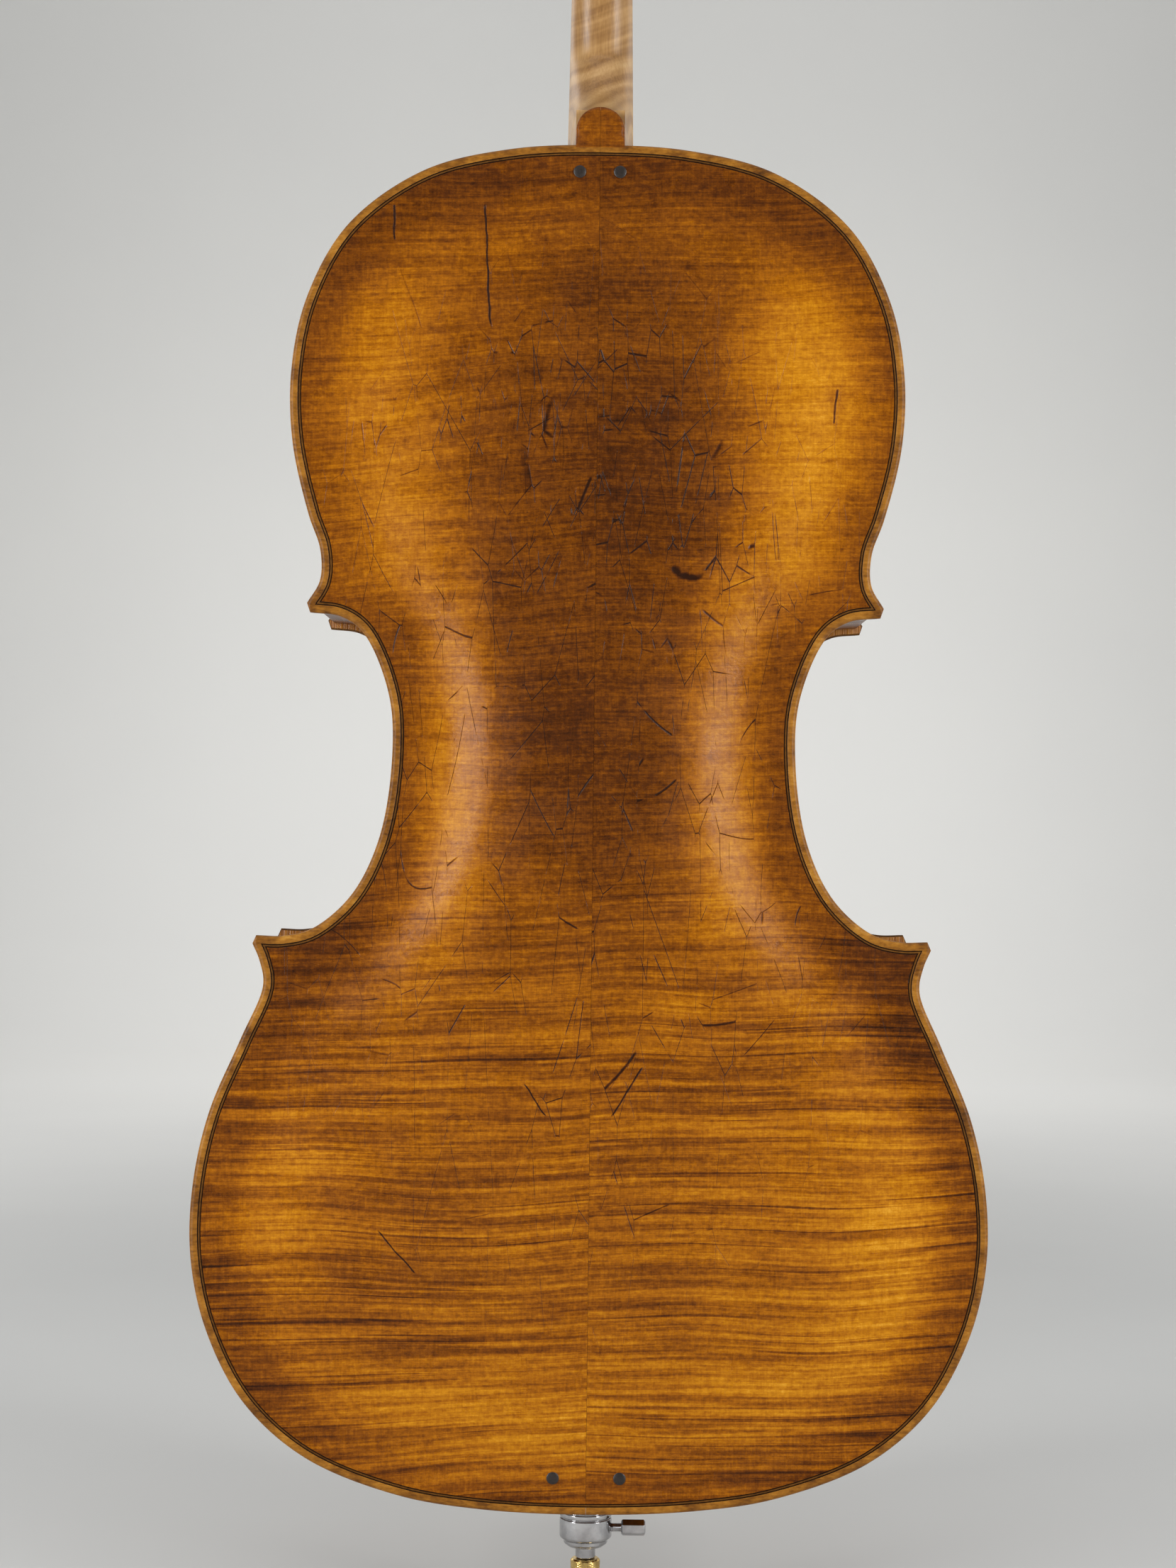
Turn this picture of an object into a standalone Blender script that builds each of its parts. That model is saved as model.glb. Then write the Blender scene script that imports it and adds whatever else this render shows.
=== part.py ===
"""Cello: carved plates on bent ribs, neck and grafted head, fittings, strings and endpin.

Metres, +Z up. The origin is the floor contact at the endpin's tip. The strings face -Y, the
back faces +Y, and +X is the treble side. Touching pieces keep a gap of GAP.
"""
import math

import bmesh
import bpy
import numpy as np
from mathutils import Vector

GAP = 0.0003
HALF_GAP = GAP / 2
FIT_GAP = 0.0006                # between a carved surface and what is fitted to it
SIDES = ((-1, "bass"), (1, "treble"))

# body
BODY_Z = 0.070                  # height of the body's lowest edge above the floor
BODY_LENGTH = 0.755
RIB_HALF = 0.059                # half the height of the ribs, which are centred on Y = 0
RIB_THICK = 0.0015
RIB_TRIM = 0.0006               # cut off a rib's end at a corner
OVERHANG = 0.0040
PLATE_Y = RIB_HALF + GAP        # the plates' gluing planes
EDGE_CROWN = 0.0048
EDGE_LOW = 0.0040
CROWN_INSET = 0.0022
FLUTE_LEVEL = 0.0036
FLUTE_INSET = 0.012
PLATFORM_INSET = 0.018          # the flat gluing margin inside each plate
BACK_PEAK, BACK_THICK = 0.0250, 0.0045
TOP_PEAK, TOP_THICK = 0.0270, 0.0042
PURFLING_INSET, PURFLING_WIDTH, PURFLING_DEPTH = 0.0044, 0.0020, 0.0016
BLOCK_INSET = OVERHANG + RIB_THICK + GAP
LINING_THICK, LINING_HEIGHT = 0.0025, 0.014
BUTTON_HALF, BUTTON_RISE = 0.0135, 0.021
SPINE_LOW, SPINE_HIGH = 0.080, 0.680    # stretch of the centre line that the arch runs to

# half outline, as (half width, height above the body's lowest edge)
LOWER_BOUT = ((0, 0), (0.060, 0.0026), (0.105, 0.010), (0.1555, 0.030), (0.1895, 0.060),
              (0.2106, 0.100), (0.2194, 0.140), (0.2185, 0.180), (0.2099, 0.220),
              (0.1931, 0.260), (0.1809, 0.290), (0.1830, 0.3035), (0.1870, 0.3130))
WAIST = ((0.1850, 0.3175), (0.1700, 0.3174), (0.1540, 0.3217), (0.1331, 0.340),
         (0.1184, 0.370), (0.1114, 0.412), (0.1131, 0.450), (0.1275, 0.4845),
         (0.1400, 0.4935), (0.1572, 0.4958))
UPPER_BOUT = ((0.1590, 0.5010), (0.1520, 0.5135), (0.1520, 0.5305), (0.1587, 0.550),
              (0.1680, 0.590), (0.1690, 0.630), (0.1608, 0.670), (0.1385, 0.710),
              (0.0973, 0.740), (0.050, 0.7522), (0, BODY_LENGTH))
BOUT_SEGMENTS = (14, 12, 12)

# neck and fingerboard
TOP_Z = BODY_Z + BODY_LENGTH
NECK_LENGTH = 0.280
NUT_Z = TOP_Z + NECK_LENGTH
NECK_TAN = math.tan(math.radians(9.6))
ROOT_Y = -0.0848                # the fingerboard's underside at the body's top edge
NUT_HALF, ROOT_HALF = 0.01525, 0.02025
BOARD_LENGTH, BOARD_EDGE = 0.585, 0.006
BOARD_RADIUS = 0.062
LEAST_HOLLOW = 0.00001          # of an underside that is all but flat
NUT_DEPTH, NUT_RISE = 0.0088, 0.0006
NECK_END_Z = NUT_Z + 0.0095
MORTISE_DEPTH = 0.011
HEEL_BACK_Y = RIB_HALF

# head, in its own plane: a runs up the pegbox and b towards the strings
HEAD_LEAN = math.radians(17)
HEAD_BASE = (0, ROOT_Y + NECK_TAN * (NECK_END_Z - TOP_Z), NECK_END_Z + GAP)
EYE = (0.163, -0.004)
SPIRAL_RADIUS, SPIRAL_DECAY, SPIRAL_TURNS = 0.031, 0.085, 2.25
STATIONS_PER_TURN = 14
PEG_PLACES = {"c": (0.030, -0.0145), "a": (0.055, -0.0160), "g": (0.082, -0.0165),
              "d": (0.106, -0.0160)}
PEG_SIDE = {"c": -1, "g": -1, "d": 1, "a": 1}
PEG_RADIUS = 0.0066

# bridge, tailpiece and strings
BRIDGE_Z = BODY_Z + 0.355
BRIDGE_TOP_Y = -0.1712
BRIDGE_RADIUS = 0.062
BRIDGE_FOOT_THICK, BRIDGE_TOP_THICK = 0.011, 0.0028
TAIL_TOP, TAIL_BOTTOM = (-0.1350, 0.310), (-0.0800, 0.0765)     # as (Y, Z) on its underside
TUNER_X = {"c": -0.0185, "g": -0.0062, "d": 0.0062, "a": 0.0185}
STRING_RADIUS = {"c": 0.00095, "g": 0.00070, "d": 0.00060, "a": 0.00045}
STRING_ORDER = ("c", "g", "d", "a")
BRIDGE_SPACING, NUT_SPACING = 0.0470 / 3, 0.0220 / 3

SADDLE_HALF, SADDLE_DEPTH, SADDLE_FRONT_Y = 0.020, 0.0040, -0.0735
CORD_RADIUS, CORD_Z = 0.0013, 0.0682
TAIL_CORD_X = 0.009

# endpin
COLLAR_RADIUS = 0.01525
COLLAR_TOP, COLLAR_BOTTOM = 0.0652, 0.0375
PLUG_NECK, PLUG_FLANGE, PLUG_RADIUS = 0.0125, 0.0135, 0.0122
ROD_RADIUS, ROD_LOW, ROD_TOP = 0.0057, 0.0308, 0.500
BORE_RADIUS = ROD_RADIUS + 0.0004
FERRULE_RADIUS, FERRULE_LOW, FERRULE_TOP = 0.0085, 0.0115, 0.0305
THUMB_Z, THUMB_RADIUS = 0.0480, 0.0025
THUMB_KNOB = (-0.0203, -0.0343)


def clear_scene():
    for old in list(bpy.data.objects):
        bpy.data.objects.remove(old)


def material(name, colour, roughness=0.5, metallic=0.0):
    made = bpy.data.materials.new(name)
    made.use_nodes = True
    surface = made.node_tree.nodes["Principled BSDF"]
    surface.inputs["Base Color"].default_value = (*colour, 1)
    surface.inputs["Roughness"].default_value = roughness
    surface.inputs["Metallic"].default_value = metallic
    made.diffuse_color = (*colour, 1)
    return made


def add_object(name, shape, finish, smooth=40):
    """Makes an object from a closed bmesh, with its faces turned outwards."""
    bmesh.ops.remove_doubles(shape, verts=shape.verts, dist=1e-6)
    bmesh.ops.dissolve_degenerate(shape, edges=shape.edges, dist=1e-6)
    bmesh.ops.recalc_face_normals(shape, faces=shape.faces)
    mesh = bpy.data.meshes.new(name)
    shape.to_mesh(mesh)
    shape.free()
    mesh.shade_smooth()
    mesh.set_sharp_from_angle(angle=math.radians(smooth))
    mesh.materials.append(finish)
    made = bpy.data.objects.new(name, mesh)
    bpy.context.scene.collection.objects.link(made)
    return made


def centre_origin(made, place):
    """Moves an object's origin to a place on its joint's axis and leaves its shape where it is."""
    offset = Vector(place)
    for vert in made.data.vertices:
        vert.co -= offset
    made.location = offset


def cutter(made):
    made.hide_render = True
    made.display_type = "WIRE"
    return made


def boolean(made, other, operation="DIFFERENCE"):
    step = made.modifiers.new("boolean", "BOOLEAN")
    step.operation = operation
    step.solver = "EXACT"
    step.object = other


def loft(sections):
    """A closed solid through rings that all have the same number of points."""
    shape = bmesh.new()
    rings = [[shape.verts.new(point) for point in section] for section in sections]
    for low, high in zip(rings, rings[1:]):
        for i in range(len(low)):
            j = (i + 1) % len(low)
            shape.faces.new((low[i], low[j], high[j], high[i]))
    shape.faces.new(rings[0])
    shape.faces.new(rings[-1])
    return shape


def turned(profile, sides, place=(0, 0, 0), axis="Z"):
    """A closed solid turned round an axis, from (radius, distance along the axis) points."""
    sections = []
    for radius, along in profile:
        section = []
        for i in range(sides):
            angle = math.tau * i / sides
            u, v = radius * math.cos(angle), radius * math.sin(angle)
            turned_point = {"X": (along, u, v), "Y": (u, along, v), "Z": (u, v, along)}[axis]
            section.append(Vector(place) + Vector(turned_point))
        sections.append(section)
    return loft(sections)


def bored(profile, bore, sides):
    """A turned ring round Z: the profile outside and a straight bore inside."""
    low, high = profile[0][1], profile[-1][1]
    shape = bmesh.new()
    rings = []
    for radius, along in (*profile, (bore, high), (bore, low)):
        rings.append([shape.verts.new((radius * math.cos(math.tau * i / sides),
                                       radius * math.sin(math.tau * i / sides), along))
                      for i in range(sides)])
    for one, two in zip(rings, rings[1:] + rings[:1]):
        for i in range(sides):
            j = (i + 1) % sides
            shape.faces.new((one[i], one[j], two[j], two[i]))
    return shape


def prism(outline, low, high):
    """An outline of (X, Z) points drawn along Y."""
    return loft([[(x, y, z) for x, z in outline] for y in (low, high)])


def tube(name, points, radius, finish, sides_step=1):
    """A tube with closed ends along a row of points."""
    curve = bpy.data.curves.new(name, "CURVE")
    curve.dimensions = "3D"
    curve.bevel_depth = radius
    curve.bevel_resolution = sides_step
    curve.use_fill_caps = True
    line = curve.splines.new("POLY")
    line.points.add(len(points) - 1)
    for spot, point in zip(line.points, points):
        spot.co = (*point, 1)
    curve.materials.append(finish)
    made = bpy.data.objects.new(name, curve)
    bpy.context.scene.collection.objects.link(made)
    return made


# ---------------------------------------------------------------- outline

def smooth_line(points, before, after, steps=24):
    """A dense line through points, as a centripetal Catmull-Rom curve."""
    row = [np.array(p, float) for p in (before, *points, after)]
    line = []
    for p0, p1, p2, p3 in zip(row, row[1:], row[2:], row[3:]):
        t1 = np.linalg.norm(p1 - p0) ** 0.5
        t2 = t1 + np.linalg.norm(p2 - p1) ** 0.5
        t3 = t2 + np.linalg.norm(p3 - p2) ** 0.5
        for t in np.linspace(t1, t2, steps, endpoint=False):
            a1 = (p0 * (t1 - t) + p1 * t) / t1
            a2 = (p1 * (t2 - t) + p2 * (t - t1)) / (t2 - t1)
            a3 = (p2 * (t3 - t) + p3 * (t - t2)) / (t3 - t2)
            b1 = (a1 * (t2 - t) + a2 * t) / t2
            b2 = (a2 * (t3 - t) + a3 * (t - t1)) / (t3 - t1)
            line.append((b1 * (t2 - t) + b2 * (t - t1)) / (t2 - t1))
    line.append(row[-2])
    return np.array(line)


def beyond(points):
    """The point that carries a row of points straight on."""
    last, previous = np.array(points[-1]), np.array(points[-2])
    return 2 * last - previous


def mirrored(point):
    return (-point[0], point[1])


def shifted(line, inset):
    """A line moved to its left, which is the inner side of the body."""
    along = np.gradient(line, axis=0)
    along /= np.linalg.norm(along, axis=1)[:, None]
    return line + inset * np.column_stack((-along[:, 1], along[:, 0]))


def crossing(one, two):
    """Where two lines cross, as (index on one, index on two, point), or None."""
    p, r = one[:-1, None], np.diff(one, axis=0)[:, None]
    q, s = two[None, :-1], np.diff(two, axis=0)[None, :]
    cross = r[..., 0] * s[..., 1] - r[..., 1] * s[..., 0]
    gap = q - p
    with np.errstate(divide="ignore", invalid="ignore"):
        t = (gap[..., 0] * s[..., 1] - gap[..., 1] * s[..., 0]) / cross
        u = (gap[..., 0] * r[..., 1] - gap[..., 1] * r[..., 0]) / cross
    hits = np.argwhere((t >= 0) & (t <= 1) & (u >= 0) & (u <= 1))
    if not len(hits):
        return None
    i, j = hits[-1]
    return i, j, one[i] + t[i, j] * (one[i + 1] - one[i])


BOUTS = (smooth_line(LOWER_BOUT, mirrored(LOWER_BOUT[1]), beyond(LOWER_BOUT)),
         smooth_line(WAIST, beyond(WAIST[::-1]), beyond(WAIST)),
         smooth_line(UPPER_BOUT, beyond(UPPER_BOUT[::-1]), mirrored(UPPER_BOUT[-2])))


def inset_bouts(inset):
    """The three bouts moved inwards and mitred at the corners."""
    lines = [shifted(bout, inset) for bout in BOUTS] if inset else list(BOUTS)
    for k in range(2):
        hit = crossing(lines[k], lines[k + 1])
        if hit:
            i, j, point = hit
            lines[k] = np.vstack((lines[k][:i + 1], point))
            lines[k + 1] = np.vstack((point, lines[k + 1][j + 1:]))
    return lines


def lengths(line):
    return np.concatenate(([0], np.cumsum(np.linalg.norm(np.diff(line, axis=0), axis=1))))


def points_at(line, places):
    """Points at distances along a line."""
    along = lengths(line)
    return np.column_stack([np.interp(places, along, line[:, k]) for k in range(2)])


def bout_places(k, total):
    """Distances along a bout, closer together where it curls into a corner."""
    t = np.linspace(0, 1, BOUT_SEGMENTS[k] + 1)
    if k == 0:
        return total * np.sin(t * math.pi / 2)
    if k == 1:
        return total * (1 - np.cos(t * math.pi)) / 2
    places = (total - BUTTON_HALF) * (1 - np.cos(t[:-1] / t[-2] * math.pi / 2))
    return np.append(places, total)


def ring(inset):
    """Half outline at an inset, from the bottom's centre round to the top's centre."""
    lines = inset_bouts(inset)
    return np.vstack([points_at(line, bout_places(k, lengths(line)[-1]))
                      for k, line in enumerate(lines)])


FLUTE_RING = ring(FLUTE_INSET)


def smoothed_widths():
    """Half widths inside the fluting, evened out so that the arch runs softly past the corners."""
    heights = np.linspace(-0.1, BODY_LENGTH + 0.1, 192)
    widths = np.interp(heights, FLUTE_RING[:, 1], FLUTE_RING[:, 0], left=0, right=0)
    window = np.hanning(25)
    return heights, np.convolve(widths, window / window.sum(), "same")


WIDTH_HEIGHTS, WIDTHS = smoothed_widths()


def arch_level(flat, depth, peak):
    """Height of a plate's outer surface above its gluing plane, at (x, height) points that lie
    a given depth inside the fluting."""
    x, height = flat[:, 0], flat[:, 1]
    across = np.clip(1 - x / np.interp(height, WIDTH_HEIGHTS, WIDTHS), 0, 1)
    reach = BODY_LENGTH / 2 - FLUTE_INSET
    along = np.clip(1 - np.abs(height - BODY_LENGTH / 2) / reach, 0, 1)
    ridge = np.sin(math.pi / 2 * along ** 0.55) ** 2
    scoop = np.sin(math.pi / 2 * np.clip(depth / 0.045, 0, 1) ** 0.8) ** 2
    bow = np.sin(math.pi / 2 * across ** 0.75) ** 2
    return FLUTE_LEVEL + (peak - FLUTE_LEVEL) * ridge * bow * scoop


def spine_heights():
    """Where on the centre line each outline point's ray ends."""
    corner_low, corner_high = 0.300, 0.515
    stops = [(SPINE_LOW, corner_low), (corner_low, corner_high), (corner_high, SPINE_HIGH)]
    rows = []
    for k, (start, end) in enumerate(stops):
        places = bout_places(k, 1.0) if k < 2 else bout_places(k, lengths(BOUTS[2])[-1])
        rows.append(start + (end - start) * places / places[-1])
    return np.concatenate(rows)


SPINE = spine_heights()


# ---------------------------------------------------------------- body

def ray_points(edge, share):
    """Points part of the way from an outline to the spine, and how far in they lie."""
    spine = np.column_stack((np.zeros_like(SPINE), SPINE))
    step = share * (spine - edge)
    return edge + step, np.linalg.norm(step, axis=1)


def plate_rows(peak, thick):
    """Rows of (x, height, level) for a plate's outer and inner surfaces, edge to spine."""
    inner_purfling = PURFLING_INSET + PURFLING_WIDTH + 2 * GAP
    channel = FLUTE_LEVEL + 0.0006
    outer = []
    for inset, level in ((0, EDGE_LOW), (CROWN_INSET, EDGE_CROWN), (PURFLING_INSET, channel),
                         (PURFLING_INSET, channel - PURFLING_DEPTH),
                         (inner_purfling, channel - PURFLING_DEPTH),
                         (inner_purfling, channel - GAP), (FLUTE_INSET, FLUTE_LEVEL)):
        flat = ring(inset)
        outer.append(np.column_stack((flat, np.full(len(flat), level))))
    for share in (0.18, 0.42, 0.70, 1.0):
        flat, depth = ray_points(FLUTE_RING, share)
        outer.append(np.column_stack((flat, arch_level(flat, depth, peak))))
    platform = ring(PLATFORM_INSET)
    inner = [np.column_stack((flat, np.zeros(len(flat)))) for flat in (ring(0), platform)]
    for share in (0.20, 0.42, 0.70, 1.0):
        flat, depth = ray_points(platform, share)
        depth += PLATFORM_INSET - FLUTE_INSET
        level = np.maximum(arch_level(flat, depth, peak) - thick, 0)
        inner.append(np.column_stack((flat, level)))
    return outer, inner


def plate_half(name, side, face, peak, thick, finish, button=False):
    """One half of a plate, from its edge to the centre joint. side is +1 on the treble side,
    and face is +1 for the back and -1 for the top."""
    shape = bmesh.new()

    def vert(x, height, level):
        return shape.verts.new((side * max(x, HALF_GAP), face * (PLATE_Y + level), BODY_Z + height))

    outer, inner = ([[vert(*point) for point in row] for row in rows]
                    for rows in plate_rows(peak, thick))
    count = len(outer[0])
    for rows in (outer, inner):
        for one, two in zip(rows, rows[1:]):
            for i in range(count - 1):
                shape.faces.new((one[i], one[i + 1], two[i + 1], two[i]))
    for i in range(count - 1):
        shape.faces.new((outer[-1][i], outer[-1][i + 1], inner[-1][i + 1], inner[-1][i]))
    for i in range(count - 2 if button else count - 1):
        shape.faces.new((outer[0][i], outer[0][i + 1], inner[0][i + 1], inner[0][i]))
    for i in (0, -1):
        shape.faces.new([row[i] for row in outer] + [row[i] for row in reversed(inner)])
    if button:
        centre = BODY_LENGTH + BUTTON_RISE - BUTTON_HALF
        arc = [(BUTTON_HALF * math.cos(t), centre + BUTTON_HALF * math.sin(t))
               for t in np.linspace(0, math.pi / 2, 6)]
        front = [inner[0][-2], *(vert(x, h, 0) for x, h in arc), inner[0][-1]]
        rear = [outer[0][-2], *(vert(x, h, EDGE_LOW) for x, h in arc), outer[0][-1]]
        shape.faces.new(front)
        shape.faces.new(rear)
        for i in range(len(front) - 1):
            shape.faces.new((front[i], front[i + 1], rear[i + 1], rear[i]))
    return add_object(name, shape, finish, 30)


def purfling(name, face, finish):
    """The inlaid strip all round a plate, in the channel that its two halves leave."""
    outer_half = ring(PURFLING_INSET + GAP)
    inner_half = ring(PURFLING_INSET + GAP + PURFLING_WIDTH)
    top = FLUTE_LEVEL + 0.0006 - GAP
    shape = bmesh.new()
    loops = []
    for half, level in ((outer_half, top), (inner_half, top),
                        (inner_half, top - PURFLING_DEPTH + 2 * GAP),
                        (outer_half, top - PURFLING_DEPTH + 2 * GAP)):
        whole = np.vstack((half, (half * (-1, 1))[::-1][1:-1]))
        loops.append([shape.verts.new((x, face * (PLATE_Y + level), BODY_Z + h))
                      for x, h in whole])
    for one, two in zip(loops, loops[1:] + loops[:1]):
        for i in range(len(one)):
            j = (i + 1) % len(one)
            shape.faces.new((one[i], one[j], two[j], two[i]))
    return add_object(name, shape, finish)


def faceted(inset, k):
    """Bout k at an inset, with the same facets as the plates' edges."""
    line = inset_bouts(inset)[k]
    return points_at(line, bout_places(k, lengths(line)[-1]))


def stretch(line, start, end):
    """Station numbers along a faceted line, from one distance in from its ends to the other."""
    along, index = lengths(line), np.arange(len(line))
    first, final = np.interp((start, along[-1] - end), along, index)
    return [first, *index[(index > first + 0.05) & (index < final - 0.05)], final]


def at_stations(line, stations):
    index = np.arange(len(line))
    return np.column_stack([np.interp(stations, index, line[:, k]) for k in range(2)])


def bout_strip(name, side, k, insets, trims, low, high, finish):
    """A strip bent along bout k between two insets, shortened at both ends by the trims."""
    lines = [faceted(inset, k) for inset in insets]
    stations = stretch(lines[0], *trims)
    rows = [[(side * x, BODY_Z + h) for x, h in at_stations(line, stations)] for line in lines]
    sections = []
    for outside, inside in zip(*rows):
        sections.append([(outside[0], low, outside[1]), (outside[0], high, outside[1]),
                         (inside[0], high, inside[1]), (inside[0], low, inside[1])])
    return add_object(name, loft(sections), finish)


def corner_block(name, side, k, finish):
    """A block in the corner between bouts k and k + 1."""
    before, after = faceted(BLOCK_INSET, k), faceted(BLOCK_INSET, k + 1)
    reach, clear = 0.034, 0.0010
    before = at_stations(before, stretch(before, lengths(before)[-1] - reach, clear))
    after = at_stations(after, stretch(after, clear, lengths(after)[-1] - reach))
    outline = [(side * x, BODY_Z + h) for x, h in (*before, *after)]
    return add_object(name, prism(outline, -RIB_HALF, RIB_HALF), finish)


def end_block(name, line, half, inner_height, finish):
    """A block at the bottom or the top, between the facets of the ribs and a flat face."""
    line = line[line[:, 0].argsort()]
    beyond_half = line[line[:, 0] < half]
    right = [*beyond_half, (half, np.interp(half, line[:, 0], line[:, 1]))]
    left = [(-x, h) for x, h in right[::-1] if x > 0]
    outline = [(x, BODY_Z + h) for x, h in (*left, *right, (half, inner_height),
                                            (-half, inner_height))]
    return add_object(name, prism(outline, -RIB_HALF, RIB_HALF), finish)


def f_hole_cutter(side):
    """The curved stem and the two eyes of one sound hole, drawn through the top."""
    stem = (((0.0545, 0.4150), 0.0034), ((0.0590, 0.4235), 0.0022), ((0.0650, 0.4245), 0.0022),
            ((0.0700, 0.4150), 0.0031), ((0.0740, 0.3920), 0.0041), ((0.0790, 0.3550), 0.0047),
            ((0.0845, 0.3160), 0.0043), ((0.0885, 0.2930), 0.0034), ((0.0940, 0.2838), 0.0023),
            ((0.1000, 0.2850), 0.0022), ((0.1040, 0.2930), 0.0040))
    places = [place for place, _ in stem]
    line = smooth_line(places, beyond(places[::-1]), beyond(places), 2)
    widths = np.interp(np.arange(len(line)) / 2, np.arange(len(stem)), [w for _, w in stem])
    along = np.gradient(line, axis=0)
    along /= np.linalg.norm(along, axis=1)[:, None]
    across = np.column_stack((-along[:, 1], along[:, 0])) * widths[:, None]
    outline = [(side * x, BODY_Z + h) for x, h in (*(line + across), *(line - across)[::-1])]
    low, high = -PLATE_Y - 0.035, -PLATE_Y + 0.004
    made = cutter(add_object("f_hole_cutter", prism(outline, low, high), DARK))
    for (x, height), radius in (((0.0545, 0.4130), 0.0064), ((0.1036, 0.2968), 0.0083)):
        profile = ((radius, low - 0.001), (radius, high + 0.001))
        eye = turned(profile, 14, (side * x, 0, BODY_Z + height), "Y")
        boolean(made, cutter(add_object("f_eye_cutter", eye, DARK)), "UNION")
    return made


def plate_surface(name, x, z, outside, face=-1):
    """Y of a plate's carved surface at a place: its outer one, or the one inside the body."""
    start, way = (0.2 * face, -face) if outside else (0, face)
    _, place, _, _ = bpy.data.objects[name].ray_cast(Vector((x, start, z)), Vector((0, way, 0)))
    return place.y


def body_shell():
    """Plates, ribs, blocks, linings, bass bar and soundpost."""
    neck_cut = cutter(add_object("neck_cutter", heel_prism(GAP), DARK))
    saddle_cut = cutter(add_object("saddle_cutter", saddle_shape(GAP), DARK))
    bore = PLUG_RADIUS + 2 * GAP
    plug_cut = cutter(add_object("plug_cutter", turned(((bore, 0.060), (bore, 0.115)), 24), DARK))
    pin_cuts = back_pins()
    plates(neck_cut, saddle_cut, pin_cuts)
    ribs(neck_cut, plug_cut)
    blocks(neck_cut, plug_cut, pin_cuts)
    linings()
    bass_bar()
    soundpost()


def plates(neck_cut, saddle_cut, pin_cuts):
    """The back and the top, each of two halves glued side by side, with their purfling."""
    for side, word in SIDES:
        back = plate_half(f"back_{word}_half", side, 1, BACK_PEAK, BACK_THICK, MAPLE, button=True)
        for pin_side, cut in pin_cuts:
            if pin_side == side:
                boolean(back, cut)
        top = plate_half(f"top_{word}_half", side, -1, TOP_PEAK, TOP_THICK, SPRUCE)
        for cut in (f_hole_cutter(side), neck_cut, saddle_cut):
            boolean(top, cut)
    purfling("purfling_back", 1, EBONY)
    boolean(purfling("purfling_top", -1, EBONY), neck_cut)


def ribs(neck_cut, plug_cut):
    """Six bent ribs; the lower pair is bored for the plug and the upper pair holds the heel."""
    insets = (OVERHANG, OVERHANG + RIB_THICK)
    for side, word in SIDES:
        for k, place, trims, cut in ((0, "lower", (HALF_GAP, RIB_TRIM), plug_cut),
                                     (1, "waist", (RIB_TRIM, RIB_TRIM), None),
                                     (2, "upper", (RIB_TRIM, BUTTON_HALF / 2), neck_cut)):
            rib = bout_strip(f"rib_{place}_{word}", side, k, insets, trims, -RIB_HALF, RIB_HALF,
                             MAPLE)
            if cut:
                boolean(rib, cut)


def blocks(neck_cut, plug_cut, pin_cuts):
    """Four corner blocks, and the two end blocks that carry the plug and the neck."""
    for side, word in SIDES:
        corner_block(f"block_lower_{word}", side, 0, WILLOW)
        corner_block(f"block_upper_{word}", side, 1, WILLOW)
    bottom = end_block("block_bottom", faceted(BLOCK_INSET, 0)[:4], 0.045, 0.030, WILLOW)
    top = end_block("block_top", faceted(BLOCK_INSET, 2)[-4:], 0.052, 0.716, WILLOW)
    boolean(bottom, plug_cut)
    boolean(top, neck_cut)
    for _, cut in pin_cuts:
        boolean(bottom if cut.location.z < BODY_Z + 0.1 else top, cut)


def linings():
    """Willow strips that widen the ribs' glue line on the back."""
    insets = (BLOCK_INSET, BLOCK_INSET + LINING_THICK)
    for side, word in SIDES:
        for k, place, trims in ((0, "lower", (0.048, 0.038)), (1, "waist", (0.038, 0.038)),
                                (2, "upper", (0.038, 0.056))):
            bout_strip(f"lining_{place}_{word}", side, k, insets, trims,
                       RIB_HALF - LINING_HEIGHT, RIB_HALF - GAP, WILLOW)


def back_pins():
    """Ebony pins through the back into the end blocks, and a cutter for each one's hole."""
    cuts = []
    for place, height, reach in (("upper", 0.740, 0.0111), ("lower", 0.0203, 0.0184)):
        for side, word in SIDES:
            level = FLUTE_LEVEL + 0.0006
            spot = (side * reach, PLATE_Y, BODY_Z + height)
            pin = turned(((0.0030, -0.008), (0.0036, 0), (0.0036, level - 0.0003),
                          (0.0026, level)), 12, spot, "Y")
            add_object(f"pin_{place}_{word}", pin, EBONY)
            hole = turned(((0.0036 + GAP, -0.0085), (0.0036 + GAP, 0.012)), 12, (0, 0, 0), "Y")
            cut = cutter(add_object("pin_cutter", hole, DARK))
            cut.location = spot
            cuts.append((side, cut))
    return cuts


def bass_bar():
    """The bar under the bass foot of the bridge, fitted to the inside of the top."""
    half, sections = 0.0055, []
    for t in np.linspace(0, 1, 11):
        height = 0.098 + 0.560 * t
        centre = -0.0385 + 0.006 * t
        depth = 0.006 + 0.019 * math.sin(math.pi * t) ** 0.8
        section = []
        for dx, at_plate in ((-half, True), (half, True), (half * 0.7, False), (-half * 0.7, False)):
            x, z = centre + dx, BODY_Z + height
            y = plate_surface("top_bass_half", x, z, False) + FIT_GAP
            section.append((x, y if at_plate else y + depth, z))
        sections.append(section)
    return add_object("bass_bar", loft(sections), SPRUCE)


def soundpost():
    """The post between the plates, just below the treble foot of the bridge."""
    radius, x0, z0 = 0.0055, 0.0365, BRIDGE_Z - 0.017
    sections = []
    for plate, face in (("top_treble_half", -1), ("back_treble_half", 1)):
        section = []
        for i in range(14):
            angle = math.tau * i / 14
            x, z = x0 + radius * math.cos(angle), z0 + radius * math.sin(angle)
            section.append((x, plate_surface(plate, x, z, False, face) - face * FIT_GAP, z))
        sections.append(section)
    return add_object("soundpost", loft(sections), SPRUCE)


# ---------------------------------------------------------------- neck and board

def neck_face(z):
    """Y of the neck's gluing face, which is the fingerboard's underside."""
    return ROOT_Y + NECK_TAN * (z - TOP_Z)


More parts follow.
